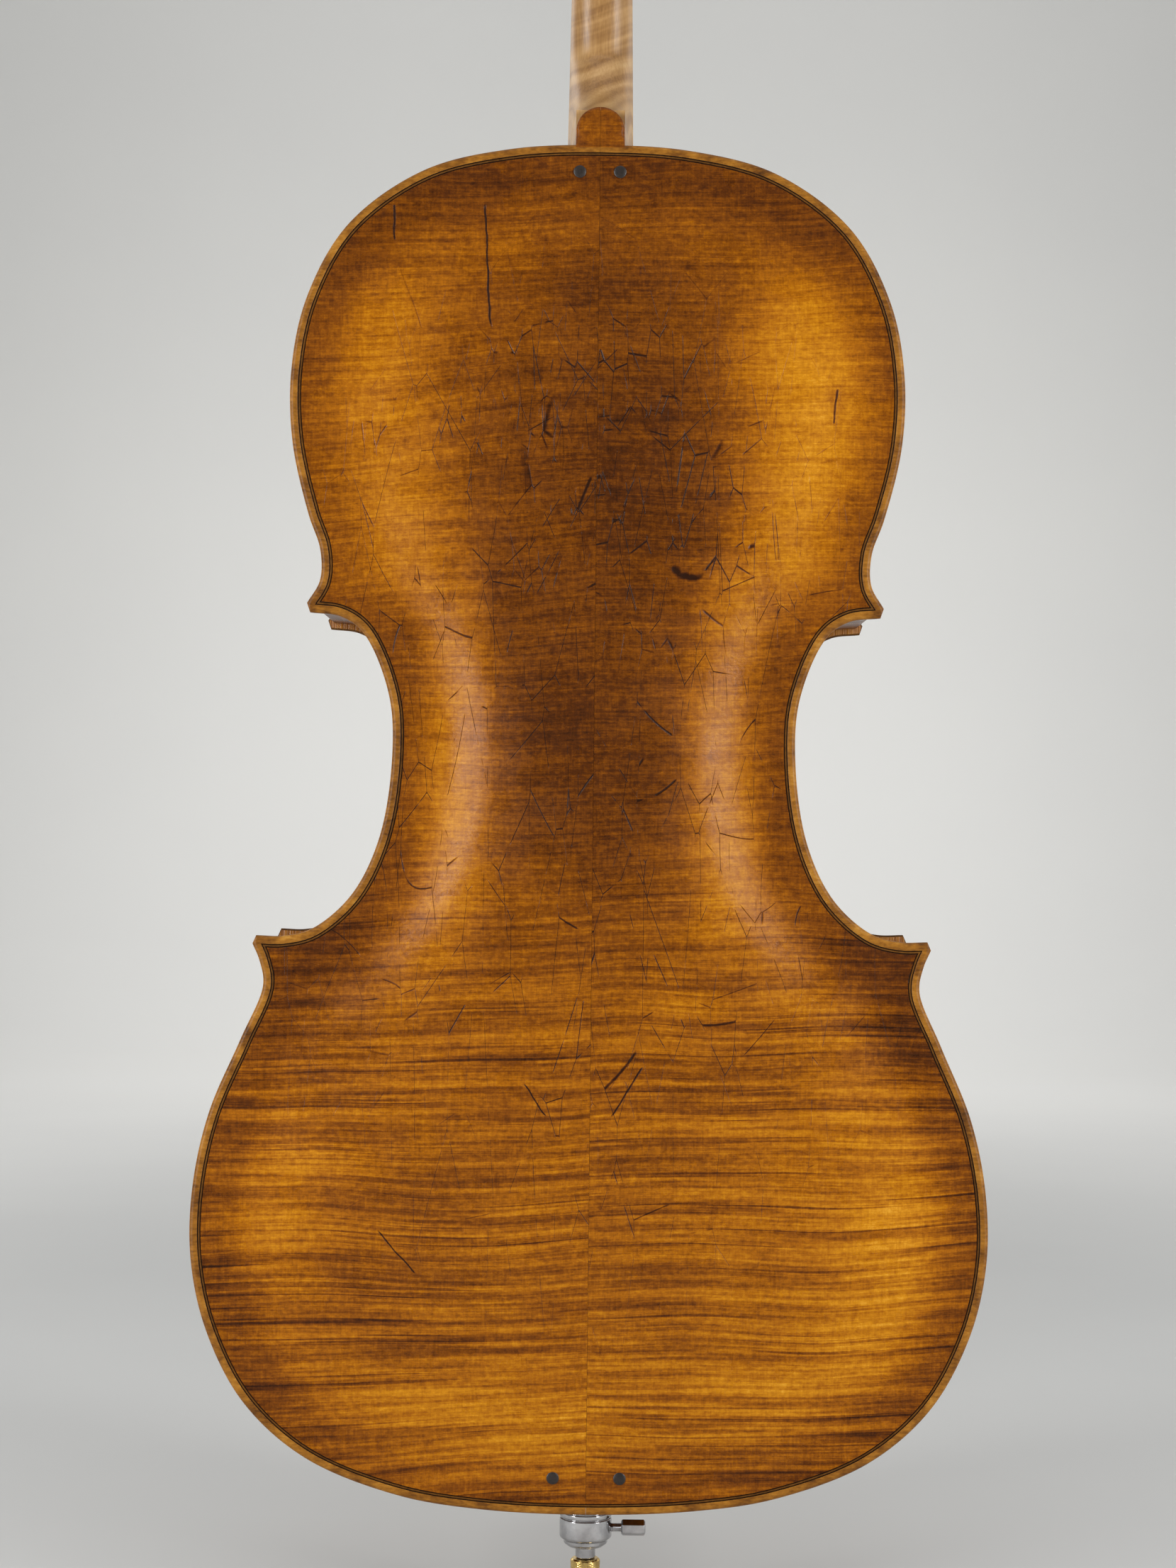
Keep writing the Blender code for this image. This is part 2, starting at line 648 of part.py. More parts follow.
def board_half(z):
    return NUT_HALF + (ROOT_HALF - NUT_HALF) * (NUT_Z - z) / NECK_LENGTH


def heel_prism(extra):
    """The foot of the neck, which tapers towards the back's button."""
    low, high = TOP_Z - MORTISE_DEPTH - extra, TOP_Z + 0.012
    front, rear = neck_face(low) - 0.004, HEEL_BACK_Y + extra
    wide, narrow = ROOT_HALF + extra + 0.0002, BUTTON_HALF + extra
    sections = []
    for z in (low, high):
        sections.append([(-wide, front, z), (wide, front, z), (narrow, rear, z), (-narrow, rear, z)])
    return loft(sections)


def neck():
    """A rounded neck that swells into its foot. Each section runs from a point on the gluing
    face to a point on the back curve, given as (front Z, rear Y, rear Z, roundness)."""
    heel = ((TOP_Z - MORTISE_DEPTH, HEEL_BACK_Y, TOP_Z - MORTISE_DEPTH, 0),
            (TOP_Z + 0.008, HEEL_BACK_Y, TOP_Z + 0.020, 0),
            (TOP_Z + 0.024, 0.0370, TOP_Z + 0.0255, 0.15),
            (TOP_Z + 0.038, 0.0090, TOP_Z + 0.0330, 0.4),
            (TOP_Z + 0.051, -0.0150, TOP_Z + 0.0430, 0.7),
            (TOP_Z + 0.063, -0.0330, TOP_Z + 0.0560, 0.9),
            (TOP_Z + 0.077, -0.0445, TOP_Z + 0.0740, 1),
            (TOP_Z + 0.094, -0.0490, TOP_Z + 0.0940, 1))
    rows = list(heel)
    for z, depth in ((1.000, 0.0195), (1.075, 0.0182), (NECK_END_Z - 0.012, 0.0190),
                     (NECK_END_Z, 0.0215)):
        rows.append((z, neck_face(z) + depth, z, 1))
    sections = []
    for front_z, rear_y, rear_z, roundness in rows:
        front = Vector((0, neck_face(front_z), front_z))
        rear = Vector((0, rear_y, rear_z))
        side = []
        for u in (0, 0.25, 0.5, 0.75, 0.92, 1):
            wedge = 1 - u * (1 - BUTTON_HALF / ROOT_HALF)
            bow = max(1 - u ** 2.2, 0) ** (1 / 2.2) + (0.04 if u == 1 else 0)
            full = min(board_half(front_z), ROOT_HALF)
            width = full * ((1 - roundness) * wedge + roundness * bow)
            side.append((width, front + u * (rear - front)))
        ring_points = [(w, p.y, p.z) for w, p in side] + [(-w, p.y, p.z) for w, p in side[::-1]]
        sections.append(ring_points)
    return add_object("neck", loft(sections), PALE_MAPLE)


def crowned_section(half, z, base, edge, radius, hollow=LEAST_HOLLOW):
    """A section with a hollow underside and a round top, in the plane at z."""
    rise = math.sqrt(radius ** 2 - half ** 2)
    section = [(-half, base, z)]
    for t in np.linspace(-1, 1, 7):
        x = t * half
        crown = math.sqrt(radius ** 2 - x ** 2) - rise
        section.append((x, base - edge - crown, z))
    section.append((half, base, z))
    section.append((half * 0.6, base - hollow, z))
    section.append((-half * 0.6, base - hollow, z))
    return section


def fingerboard():
    """The board over the neck and the belly, hollowed underneath where it hangs free."""
    sections = []
    for z, hollow in ((NUT_Z - GAP, LEAST_HOLLOW), (TOP_Z + 0.02, LEAST_HOLLOW),
                      (TOP_Z - 0.02, 0.0035), (TOP_Z - 0.15, 0.0045),
                      (NUT_Z - BOARD_LENGTH, 0.0045)):
        sections.append(crowned_section(board_half(z), z, neck_face(z) - GAP, BOARD_EDGE,
                                        BOARD_RADIUS, hollow))
    return add_object("fingerboard", loft(sections), EBONY)


def board_top(z, x):
    """Y of the fingerboard's playing surface."""
    half = board_half(z)
    crown = math.sqrt(BOARD_RADIUS ** 2 - x ** 2) - math.sqrt(BOARD_RADIUS ** 2 - half ** 2)
    return neck_face(z) - GAP - BOARD_EDGE - crown


def nut():
    sections = []
    for z, extra in ((NUT_Z + GAP, NUT_RISE), (NUT_Z + 0.0040, NUT_RISE),
                     (NUT_Z + NUT_DEPTH, -0.0042)):
        sections.append(crowned_section(NUT_HALF, z, neck_face(z) - GAP, BOARD_EDGE + extra,
                                        BOARD_RADIUS))
    return add_object("nut", loft(sections), EBONY)


# ---------------------------------------------------------------- head and pegs

def head_point(a, b, x=0.0):
    """World place of a point in the head's own plane."""
    up, front = (math.sin(HEAD_LEAN), math.cos(HEAD_LEAN)), (-math.cos(HEAD_LEAN),
                                                             math.sin(HEAD_LEAN))
    return Vector((x, HEAD_BASE[1] + a * up[0] + b * front[0],
                   HEAD_BASE[2] + a * up[1] + b * front[1]))


def pegbox_shape():
    rows = ((0.000, 0.0200, -0.0235, 0.0012), (0.009, 0.0229, -0.0285, 0.0030),
            (0.030, 0.0222, -0.0345, 0.0040), (0.060, 0.0207, -0.0375, 0.0050),
            (0.090, 0.0190, -0.0385, 0.0055), (0.118, 0.0172, -0.0380, 0.0045),
            (0.134, 0.0160, -0.0370, 0.0010), (0.146, 0.0150, -0.0360, -0.0085),
            (0.160, 0.0143, -0.0351, -0.0190), (0.166, 0.0136, -0.0342, -0.0225))
    slope = math.tan(HEAD_LEAN)
    sections = []
    for a, half, rear, front in rows:
        flat = [(half, front), (half, rear + 0.006), (half * 0.86, rear + 0.0012),
                (half * 0.4, rear)]
        loop = [(x, b) for x, b in flat] + [(-x, b) for x, b in flat[::-1]]
        sections.append([head_point(a or -b * slope, b, x) for x, b in loop])
    return loft(sections)


def slot_shape():
    """The hollow of the pegbox, with a ramp behind the nut."""
    sections = []
    for a, half, floor in ((0.002, 0.0105, 0.0005), (0.014, 0.0122, -0.0200),
                           (0.034, 0.0119, -0.0265), (0.090, 0.0100, -0.0300),
                           (0.120, 0.0088, -0.0270), (0.126, 0.0085, -0.0200)):
        sections.append([head_point(a, 0.03, half), head_point(a, floor, half),
                         head_point(a, floor, -half), head_point(a, 0.03, -half)])
    return loft(sections)


def spiral_radius(angle):
    return SPIRAL_RADIUS * math.exp(-SPIRAL_DECAY * angle)


def spiral_half(angle):
    """Half width of the scroll, which grows from the back of the first turn to the eye."""
    turns = angle / math.tau
    return float(np.interp(turns, (0, 0.25, 0.5, 1, 1.5, 2, SPIRAL_TURNS),
                           (0.0142, 0.0138, 0.0150, 0.0200, 0.0255, 0.0300, 0.0318)))


def scroll_shape():
    """A spiral ledge on each side that climbs to the eye, with a fluted rim round the first turn.

    Each station has, on each side, the rim's edge, the ledge's crest, its cove, and the foot of
    the wall up to the next turn. The last turn's wall climbs to the eye."""
    per_turn = STATIONS_PER_TURN
    last = round(SPIRAL_TURNS * per_turn)
    opened = last - per_turn
    eye_radius = 0.8 * spiral_radius(math.tau * SPIRAL_TURNS)
    cove = 0.0032
    shape = bmesh.new()

    def vert(station, radius, x):
        angle = math.tau * station / per_turn
        return shape.verts.new(head_point(EYE[0] + radius * math.sin(angle),
                                          EYE[1] - radius * math.cos(angle), x))

    def outer(station):
        return spiral_radius(math.tau * station / per_turn)

    rims = []
    for side in (-1, 1):
        rows, eye = [], []
        for i in range(last + 1):
            half = spiral_half(math.tau * i / per_turn)
            inner = outer(i + per_turn) if i <= opened else eye_radius
            width = outer(i) - inner
            rows.append([vert(i, outer(i), side * half), vert(i, outer(i) - 0.2 * width, side * half),
                         vert(i, outer(i) - 0.6 * width, side * (half - cove)),
                         vert(i, inner, side * (half - cove))])
            if i > opened:
                eye.append(vert(i, eye_radius, side * spiral_half(math.tau * SPIRAL_TURNS)))
        low_half = spiral_half(math.tau * opened / per_turn) - cove
        step = vert(opened, eye_radius, side * low_half)
        for i in range(last):
            one, two = rows[i], rows[i + 1]
            for k in range(3):
                corners = [one[k], two[k], two[k + 1], one[k + 1]]
                if i == opened and k == 2:
                    corners.insert(3, step)
                shape.faces.new(corners)
            if i < opened:
                shape.faces.new((one[3], two[3], rows[i + per_turn + 1][0], rows[i + per_turn][0]))
        shape.faces.new((step, rows[opened + 1][3], eye[0], eye[-1], rows[last][3]))
        for i in range(opened + 1, last):
            shape.faces.new((rows[i][3], rows[i + 1][3], eye[i - opened], eye[i - opened - 1]))
        shape.faces.new((rows[opened][3], step, *reversed(rows[last])))
        shape.faces.new(eye)
        rims.append(rows)
    bands = []
    for i in range(per_turn):
        half = spiral_half(math.tau * i / per_turn)
        flutes = [vert(i, outer(i) - depth, share * half)
                  for depth, share in ((0.0016, -0.55), (0, 0), (0.0016, 0.55))]
        bands.append([rims[0][i][0], *flutes, rims[1][i][0]])
    for one, two in zip(bands, bands[1:]):
        for k in range(4):
            shape.faces.new((one[k], two[k], two[k + 1], one[k + 1]))
    end, left, right = bands[-1], rims[0], rims[1]
    shape.faces.new((end[0], left[per_turn][0], left[0][3], end[1]))
    shape.faces.new((end[1], left[0][3], right[0][3], end[3], end[2]))
    shape.faces.new((end[3], right[0][3], right[per_turn][0], end[4]))
    shape.faces.new((*bands[0], *right[0][1:], *reversed(left[0][1:])))
    return shape


def peg(letter):
    """A tapered peg with a collar and a flat heart-shaped head, on its own side of the head."""
    side = PEG_SIDE[letter]
    a, b = PEG_PLACES[letter]
    half = float(np.interp(a, (0.009, 0.134), (0.0229, 0.0160)))
    rows = ((-half - 0.0015, 0.0052, 0.0052), (half + 0.009, PEG_RADIUS, PEG_RADIUS),
            (half + 0.0095, 0.0088, 0.0088), (half + 0.0130, 0.0092, 0.0092),
            (half + 0.0150, 0.0066, 0.0066), (half + 0.0185, 0.0058, 0.0056),
            (half + 0.0240, 0.0100, 0.0055), (half + 0.0320, 0.0140, 0.0052),
            (half + 0.0400, 0.0136, 0.0046), (half + 0.0460, 0.0095, 0.0038),
            (half + 0.0485, 0.0040, 0.0022))
    sections = []
    for x, wide, thick in rows:
        section = []
        for i in range(12):
            angle = math.tau * i / 12
            section.append(head_point(a + wide * math.cos(angle), b + thick * math.sin(angle),
                                      side * x))
        sections.append(section)
    made = add_object(f"peg_{letter}", loft(sections), ROSEWOOD)
    centre_origin(made, head_point(a, b))
    hole_rows = [(-half - 0.004, 0.0052 + 0.0003), (half + 0.004, PEG_RADIUS + 0.0002)]
    hole_sections = []
    for x, radius in hole_rows:
        hole_sections.append([head_point(a + radius * math.cos(math.tau * i / 20),
                                         b + radius * math.sin(math.tau * i / 20), side * x)
                              for i in range(20)])
    return cutter(add_object("peg_cutter", loft(hole_sections), DARK))


def head():
    """The pegbox and scroll in one piece of old wood, hollowed and bored for the pegs."""
    made = add_object("head", pegbox_shape(), OLD_MAPLE, 35)
    scroll = cutter(add_object("scroll_shape", scroll_shape(), DARK))
    slot = cutter(add_object("slot_cutter", slot_shape(), DARK))
    boolean(made, scroll, "UNION")
    boolean(made, slot)
    for letter in STRING_ORDER:
        boolean(made, peg(letter))


# ---------------------------------------------------------------- fittings

def saddle_shape(extra=0.0):
    """The block that carries the tail cord over the top's edge, or the notch for it."""
    rear = BODY_Z + SADDLE_DEPTH
    if extra:
        outline = ((-PLATE_Y + 0.0005, BODY_Z - 0.003), (-PLATE_Y + 0.0005, rear + extra),
                   (SADDLE_FRONT_Y, rear + extra), (SADDLE_FRONT_Y, BODY_Z - 0.003))
    else:
        outline = ((-PLATE_Y, BODY_Z + 0.0004), (-PLATE_Y, rear), (-PLATE_Y - 0.0062, rear),
                   (-PLATE_Y - 0.0072, rear + 0.0040), (SADDLE_FRONT_Y + 0.0020, rear + 0.0030),
                   (SADDLE_FRONT_Y, rear), (SADDLE_FRONT_Y, BODY_Z + 0.0018),
                   (SADDLE_FRONT_Y + 0.0014, BODY_Z + 0.0004))
    half = SADDLE_HALF + extra
    return loft([[(x, y, z) for y, z in outline] for x in (-half, half)])


def bridge():
    """A bridge with waisted sides, legs and feet fitted to the belly, and a pierced heart."""
    crown = [(x, -BRIDGE_TOP_Y - BRIDGE_RADIUS + math.sqrt(BRIDGE_RADIUS ** 2 - x ** 2))
             for x in np.linspace(0, 0.0300, 6)]
    flank = ((0.0312, 0.1600), (0.0268, 0.1530), (0.0262, 0.1460), (0.0310, 0.1395),
             (0.0385, 0.1350), (0.0396, 0.1290), (0.0350, 0.1262), (0.0290, 0.1255),
             (0.0262, 0.1205), (0.0285, 0.1130), (0.0325, 0.1040), (0.0372, 0.0950),
             (0.0400, 0.0918), (0.0452, 0.0900))
    arch = ((0.0280, 0.0912), (0.0278, 0.0965), (0.0235, 0.1050), (0.0160, 0.1115),
            (0.0080, 0.1148), (0, 0.1158))
    rear_z = BRIDGE_Z - BRIDGE_FOOT_THICK / 2
    low_u, high_u = 0.084, -BRIDGE_TOP_Y

    def thickness(u):
        share = (u - low_u) / (high_u - low_u)
        return BRIDGE_FOOT_THICK + share * (BRIDGE_TOP_THICK - BRIDGE_FOOT_THICK)

    def side_outline(z_of):
        soles = []
        for x in (0.0455, 0.0360, 0.0262):
            z = z_of(low_u)
            soles.append((x, FIT_GAP - plate_surface("top_treble_half", x, z, True)))
        return [*crown, *flank, *soles, *arch]

    faces = []
    for z_of in (lambda u: rear_z, lambda u: rear_z + thickness(u)):
        half = side_outline(z_of)
        whole = half + [(-x, u) for x, u in half[::-1] if x > 0]
        faces.append([(x, -u, z_of(u)) for x, u in whole])
    made = add_object("bridge", loft(faces), PALE_MAPLE, 30)
    heart = ((0, 0.1240), (0.0062, 0.1330), (0.0096, 0.1395), (0.0088, 0.1440), (0.0045, 0.1455),
             (0, 0.1420))
    whole = [*heart, *((-x, u) for x, u in heart[::-1] if x > 0)]
    hole = loft([[(x, -u, z) for x, u in whole] for z in (rear_z - 0.002, rear_z + 0.014)])
    boolean(made, cutter(add_object("heart_cutter", hole, DARK)))


def tail_frame():
    """Directions along the tailpiece's underside, towards the saddle, and out of its top."""
    along = Vector((0, TAIL_BOTTOM[0] - TAIL_TOP[0], TAIL_BOTTOM[1] - TAIL_TOP[1]))
    length = along.length
    along.normalize()
    return length, along, Vector((0, along.z, -along.y))


TAIL_LENGTH, TAIL_ALONG, TAIL_OUT = tail_frame()


def tail_point(along, out, x=0.0):
    return Vector((x, TAIL_TOP[0], TAIL_TOP[1])) + TAIL_ALONG * along + TAIL_OUT * out


def tailpiece():
    """A tailpiece with a round top and four slots for its built-in tuners."""
    sections = []
    for along, half, edge, crown in ((0, 0.0262, 0.0040, 0.0045), (0.010, 0.0298, 0.0052, 0.0055),
                                     (0.050, 0.0288, 0.0055, 0.0060),
                                     (0.120, 0.0238, 0.0055, 0.0055),
                                     (0.200, 0.0186, 0.0055, 0.0045),
                                     (TAIL_LENGTH, 0.0158, 0.0050, 0.0035)):
        section = [tail_point(along, 0, -half)]
        for t in np.linspace(-1, 1, 7):
            section.append(tail_point(along, edge + crown * (1 - t * t), t * half))
        section.append(tail_point(along, 0, half))
        sections.append(section)
    made = add_object("tailpiece", loft(sections), EBONY, 35)
    for letter in STRING_ORDER:
        x, half = TUNER_X[letter], 0.0021
        corners = ((-0.004, -0.01), (-0.004, 0.02), (0.037, 0.02), (0.037, -0.01))
        slot = loft([[tail_point(*corner, x + dx) for corner in corners] for dx in (-half, half)])
        boolean(made, cutter(add_object("slot_cutter", slot, DARK)))


def fine_tuner(letter):
    """A lever that tilts on a cross pin and holds the string, and the screw that presses it."""
    x = TUNER_X[letter]
    outline = ((0.0015, 0.0150), (0.0042, 0.0150), (0.0052, 0.0062), (0.0330, 0.0042),
               (0.0345, 0.0010), (0.0060, -0.0008), (0.0020, 0.0015))
    lever = loft([[tail_point(*corner, x + dx) for corner in outline] for dx in (-0.0012, 0.0012)])
    centre_origin(add_object(f"tuner_lever_{letter}", lever, STEEL), tail_point(0.0055, 0.0028, x))
    profile = ((0.0013, 0.0050), (0.0014, 0.0160), (0.0036, 0.0162), (0.0042, 0.0172),
               (0.0042, 0.0218), (0.0034, 0.0228))
    sections = []
    for radius, out in profile:
        sections.append([tail_point(0.0300 + radius * math.cos(math.tau * i / 10), out,
                                    x + radius * math.sin(math.tau * i / 10)) for i in range(10)])
    centre_origin(add_object(f"tuner_screw_{letter}", loft(sections), STEEL),
                  tail_point(0.0300, 0.0165, x))


def string_start(letter, nut_point, radius):
    """The string's turns on its peg, from the last turn to where it leaves for the nut."""
    side = PEG_SIDE[letter]
    a, b = PEG_PLACES[letter]
    lean_up = Vector((0, math.sin(HEAD_LEAN), math.cos(HEAD_LEAN)))
    lean_front = Vector((0, -math.cos(HEAD_LEAN), math.sin(HEAD_LEAN)))
    offset = nut_point - Vector(HEAD_BASE)
    to_nut = (offset.dot(lean_up) - a, offset.dot(lean_front) - b)
    start_x = {"c": 0.0042, "a": 0.0045, "g": 0.0035, "d": 0.0030}[letter]
    wound = PEG_RADIUS - 0.0004 + radius + GAP
    leave = math.atan2(to_nut[1], to_nut[0]) - math.acos(wound / math.hypot(*to_nut))
    pitch = 2 * radius + GAP
    turns, per_turn = 1.8, 10
    points = []
    for i in range(round(turns * per_turn), -1, -1):
        angle = leave - math.tau * i / per_turn
        x = side * (start_x + pitch * i / per_turn)
        points.append(head_point(a + wound * math.cos(angle), b + wound * math.sin(angle), x))
    return points


def string(letter):
    """One string, from its peg over the nut and the bridge to its fine tuner."""
    index = STRING_ORDER.index(letter) - 1.5
    radius = STRING_RADIUS[letter]
    nut_x, bridge_x = index * NUT_SPACING, index * BRIDGE_SPACING
    nut_z = NUT_Z + 0.004
    lift = radius + GAP
    nut_point = Vector((nut_x, board_top(nut_z, nut_x) - NUT_RISE - lift - 0.0001, nut_z))
    sag = BRIDGE_RADIUS - math.sqrt(BRIDGE_RADIUS ** 2 - bridge_x ** 2)
    bridge_z = BRIDGE_Z - BRIDGE_FOOT_THICK / 2 + BRIDGE_TOP_THICK / 2
    bridge_point = Vector((bridge_x, BRIDGE_TOP_Y + sag - lift - 0.0002, bridge_z))
    end = tail_point(0.0011 - GAP, 0.0128, TUNER_X[letter])
    points = string_start(letter, nut_point, radius)
    for one, two in ((nut_point, bridge_point), (bridge_point, end)):
        points += [one.lerp(two, t) for t in (0, 0.02, 0.5, 0.98)]
    points.append(end)
    tube(f"string_{letter}", points, radius, STEEL)


def tail_cord():
    """A loop from the tailpiece over the saddle and round the neck of the endpin's plug."""
    start, leave = (tail_point(TAIL_LENGTH + along, 0.0042, TAIL_CORD_X) for along in (GAP, 0.0025))
    reach = PLUG_NECK + GAP + CORD_RADIUS
    front = SADDLE_FRONT_Y - CORD_RADIUS - GAP
    strand = [start, leave, Vector((0.0096, front - 0.0030, 0.0728)),
              Vector((0.0098, front - 0.0002, 0.0712)), Vector((0.0099, front + 0.0003, 0.0697)),
              Vector((0.0100, front + 0.0020, CORD_Z)), Vector((0.0112, -0.045, CORD_Z))]
    loop = [Vector((reach * math.cos(angle), reach * math.sin(angle), CORD_Z))
            for angle in np.linspace(math.radians(-10), math.radians(190), 13)]
    back = [Vector((-p.x, p.y, p.z)) for p in reversed(strand)]
    tube("tail_cord", [*strand, *loop, *back], CORD_RADIUS, CORD)


# ---------------------------------------------------------------- endpin

def endpin():
    """Plug and collar fixed to the body, a sliding rod with its ferrule and tip, a thumbscrew."""
    plug = bored(((PLUG_NECK, COLLAR_TOP + GAP), (PLUG_NECK, 0.0700), (PLUG_FLANGE, 0.0702),
                  (PLUG_FLANGE, 0.0735), (PLUG_RADIUS, 0.0736), (0.0112, 0.108)), BORE_RADIUS, 20)
    add_object("endpin_plug", plug, EBONY)
    collar = bored(((0.0094, COLLAR_BOTTOM), (0.0124, 0.0395), (0.0146, 0.0425),
                    (COLLAR_RADIUS, 0.0440), (COLLAR_RADIUS, 0.0615), (0.0146, 0.0640),
                    (0.0130, COLLAR_TOP)), BORE_RADIUS, 20)
    collar = add_object("endpin_collar", collar, STEEL)
    tapped = turned(((THUMB_RADIUS + 0.0004, -0.020), (THUMB_RADIUS + 0.0004, 0)), 16,
                    (0, 0, THUMB_Z), "X")
    boolean(collar, cutter(add_object("thumb_cutter", tapped, DARK)))
    rod = turned(((ROD_RADIUS, ROD_LOW), (ROD_RADIUS, ROD_TOP - 0.002), (0.0045, ROD_TOP)), 20)
    centre_origin(add_object("endpin_rod", rod, STEEL), (0, 0, ROD_LOW))
    ferrule = turned(((0.0074, FERRULE_LOW), (FERRULE_RADIUS, 0.0125), (FERRULE_RADIUS, 0.0290),
                      (0.0076, FERRULE_TOP)), 20)
    centre_origin(add_object("endpin_ferrule", ferrule, BRASS), (0, 0, FERRULE_LOW))
    tip = turned(((0.0045, 0), (0.0062, 0.0012), (0.0070, 0.0045), (0.0074, FERRULE_LOW - GAP)), 20)
    add_object("endpin_tip", tip, RUBBER)
    near, far = THUMB_KNOB
    screw = turned(((0.0018, -BORE_RADIUS - 0.0002), (THUMB_RADIUS, -0.0075),
                    (THUMB_RADIUS, near), (0.0041, near - 0.0002), (0.0047, near - 0.0012),
                    (0.0047, far + 0.0012), (0.0040, far)), 12, (0, 0, THUMB_Z), "X")
    centre_origin(add_object("thumbscrew", screw, STEEL), (near, 0, THUMB_Z))


# ---------------------------------------------------------------- whole cello

clear_scene()
MAPLE = material("maple", (0.42, 0.17, 0.03), 0.30)
OLD_MAPLE = material("old_maple", (0.24, 0.08, 0.015), 0.32)
PALE_MAPLE = material("pale_maple", (0.50, 0.31, 0.13), 0.45)
SPRUCE = material("spruce", (0.46, 0.20, 0.05), 0.35)
WILLOW = material("willow", (0.62, 0.47, 0.30), 0.7)
EBONY = material("ebony", (0.02, 0.016, 0.014), 0.35)
ROSEWOOD = material("rosewood", (0.09, 0.03, 0.015), 0.35)
STEEL = material("steel", (0.75, 0.75, 0.76), 0.2, 1.0)
BRASS = material("brass", (0.72, 0.52, 0.20), 0.3, 1.0)
RUBBER = material("rubber", (0.03, 0.03, 0.03), 0.8)
CORD = material("cord", (0.05, 0.05, 0.05), 0.6)
DARK = material("cutter", (0.5, 0.5, 0.5))

body_shell()
neck()
head()
fingerboard()
nut()
add_object("saddle", saddle_shape(), EBONY, 35)
bridge()
tailpiece()
for tuner in STRING_ORDER:
    fine_tuner(tuner)
    string(tuner)
tail_cord()
endpin()
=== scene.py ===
"""Cello, seen from the back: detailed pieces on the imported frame, materials, studio and camera."""
import math

import bmesh
import bpy
import numpy as np
from mathutils import Matrix, Vector


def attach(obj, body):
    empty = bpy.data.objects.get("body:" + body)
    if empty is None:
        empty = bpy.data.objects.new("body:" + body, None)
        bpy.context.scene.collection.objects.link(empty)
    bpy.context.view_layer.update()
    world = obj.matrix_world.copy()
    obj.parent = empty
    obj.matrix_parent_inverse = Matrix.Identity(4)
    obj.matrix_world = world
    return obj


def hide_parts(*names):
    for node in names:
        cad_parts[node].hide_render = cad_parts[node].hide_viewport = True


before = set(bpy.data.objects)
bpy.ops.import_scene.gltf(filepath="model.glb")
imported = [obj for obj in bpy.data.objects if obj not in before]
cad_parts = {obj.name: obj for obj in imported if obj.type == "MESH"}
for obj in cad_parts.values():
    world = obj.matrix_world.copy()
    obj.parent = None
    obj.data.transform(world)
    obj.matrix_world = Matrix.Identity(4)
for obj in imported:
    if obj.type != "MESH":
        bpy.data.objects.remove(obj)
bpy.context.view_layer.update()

# ---------------------------------------------------------------- sizes, as in the CAD model

GAP = 0.0003
CLEAR = 0.0001                  # between a visual piece and the notch that it sits in
SIDES = ((-1, "bass"), (1, "treble"))

# body
BODY_Z = 0.070                  # height of the body's lowest edge above the floor
BODY_LENGTH = 0.755
RIB_HALF = 0.059                # half the height of the ribs, which are centred on Y = 0
RIB_THICK = 0.0015
OVERHANG = 0.0040
PLATE_Y = RIB_HALF + GAP        # the plates' gluing planes
FLUTE_LEVEL = 0.0036
FLUTE_INSET = 0.012
PLATFORM_INSET = 0.018          # the flat gluing margin inside each plate
BACK_PEAK, BACK_THICK = 0.0250, 0.0045
TOP_PEAK, TOP_THICK = 0.0270, 0.0042
PURFLING_INSET, PURFLING_WIDTH, PURFLING_DEPTH = 0.0044, 0.0020, 0.0010
BLOCK_INSET = OVERHANG + RIB_THICK + GAP
LINING_THICK, LINING_HEIGHT = 0.0025, 0.014
BUTTON_HALF, BUTTON_RISE = 0.0135, 0.021
SPINE_LOW, SPINE_HIGH = 0.080, 0.680    # stretch of the centre line that the arch runs to

# half outline, as (half width, height above the body's lowest edge)
LOWER_BOUT = ((0, 0), (0.060, 0.0026), (0.105, 0.010), (0.1555, 0.030), (0.1895, 0.060),
              (0.2106, 0.100), (0.2194, 0.140), (0.2185, 0.180), (0.2099, 0.220),
              (0.1931, 0.260), (0.1809, 0.290), (0.1830, 0.3035), (0.1870, 0.3130))
WAIST = ((0.1850, 0.3175), (0.1700, 0.3174), (0.1540, 0.3217), (0.1331, 0.340),
         (0.1184, 0.370), (0.1114, 0.412), (0.1131, 0.450), (0.1275, 0.4845),
         (0.1400, 0.4935), (0.1572, 0.4958))
UPPER_BOUT = ((0.1590, 0.5010), (0.1520, 0.5135), (0.1520, 0.5305), (0.1587, 0.550),
              (0.1680, 0.590), (0.1690, 0.630), (0.1608, 0.670), (0.1385, 0.710),
              (0.0973, 0.740), (0.050, 0.7522), (0, BODY_LENGTH))
BOUT_SEGMENTS = (150, 130, 130)

# neck and fingerboard
TOP_Z = BODY_Z + BODY_LENGTH
NECK_LENGTH = 0.280
NUT_Z = TOP_Z + NECK_LENGTH
NECK_TAN = math.tan(math.radians(9.6))
ROOT_Y = -0.0848                # the fingerboard's underside at the body's top edge
NUT_HALF, ROOT_HALF = 0.01525, 0.02025
BOARD_LENGTH, BOARD_EDGE = 0.585, 0.006
BOARD_RADIUS = 0.062
NUT_DEPTH, NUT_RISE = 0.0088, 0.0006
NECK_END_Z = NUT_Z + 0.0095
MORTISE_DEPTH = 0.011
HEEL_BACK_Y = RIB_HALF

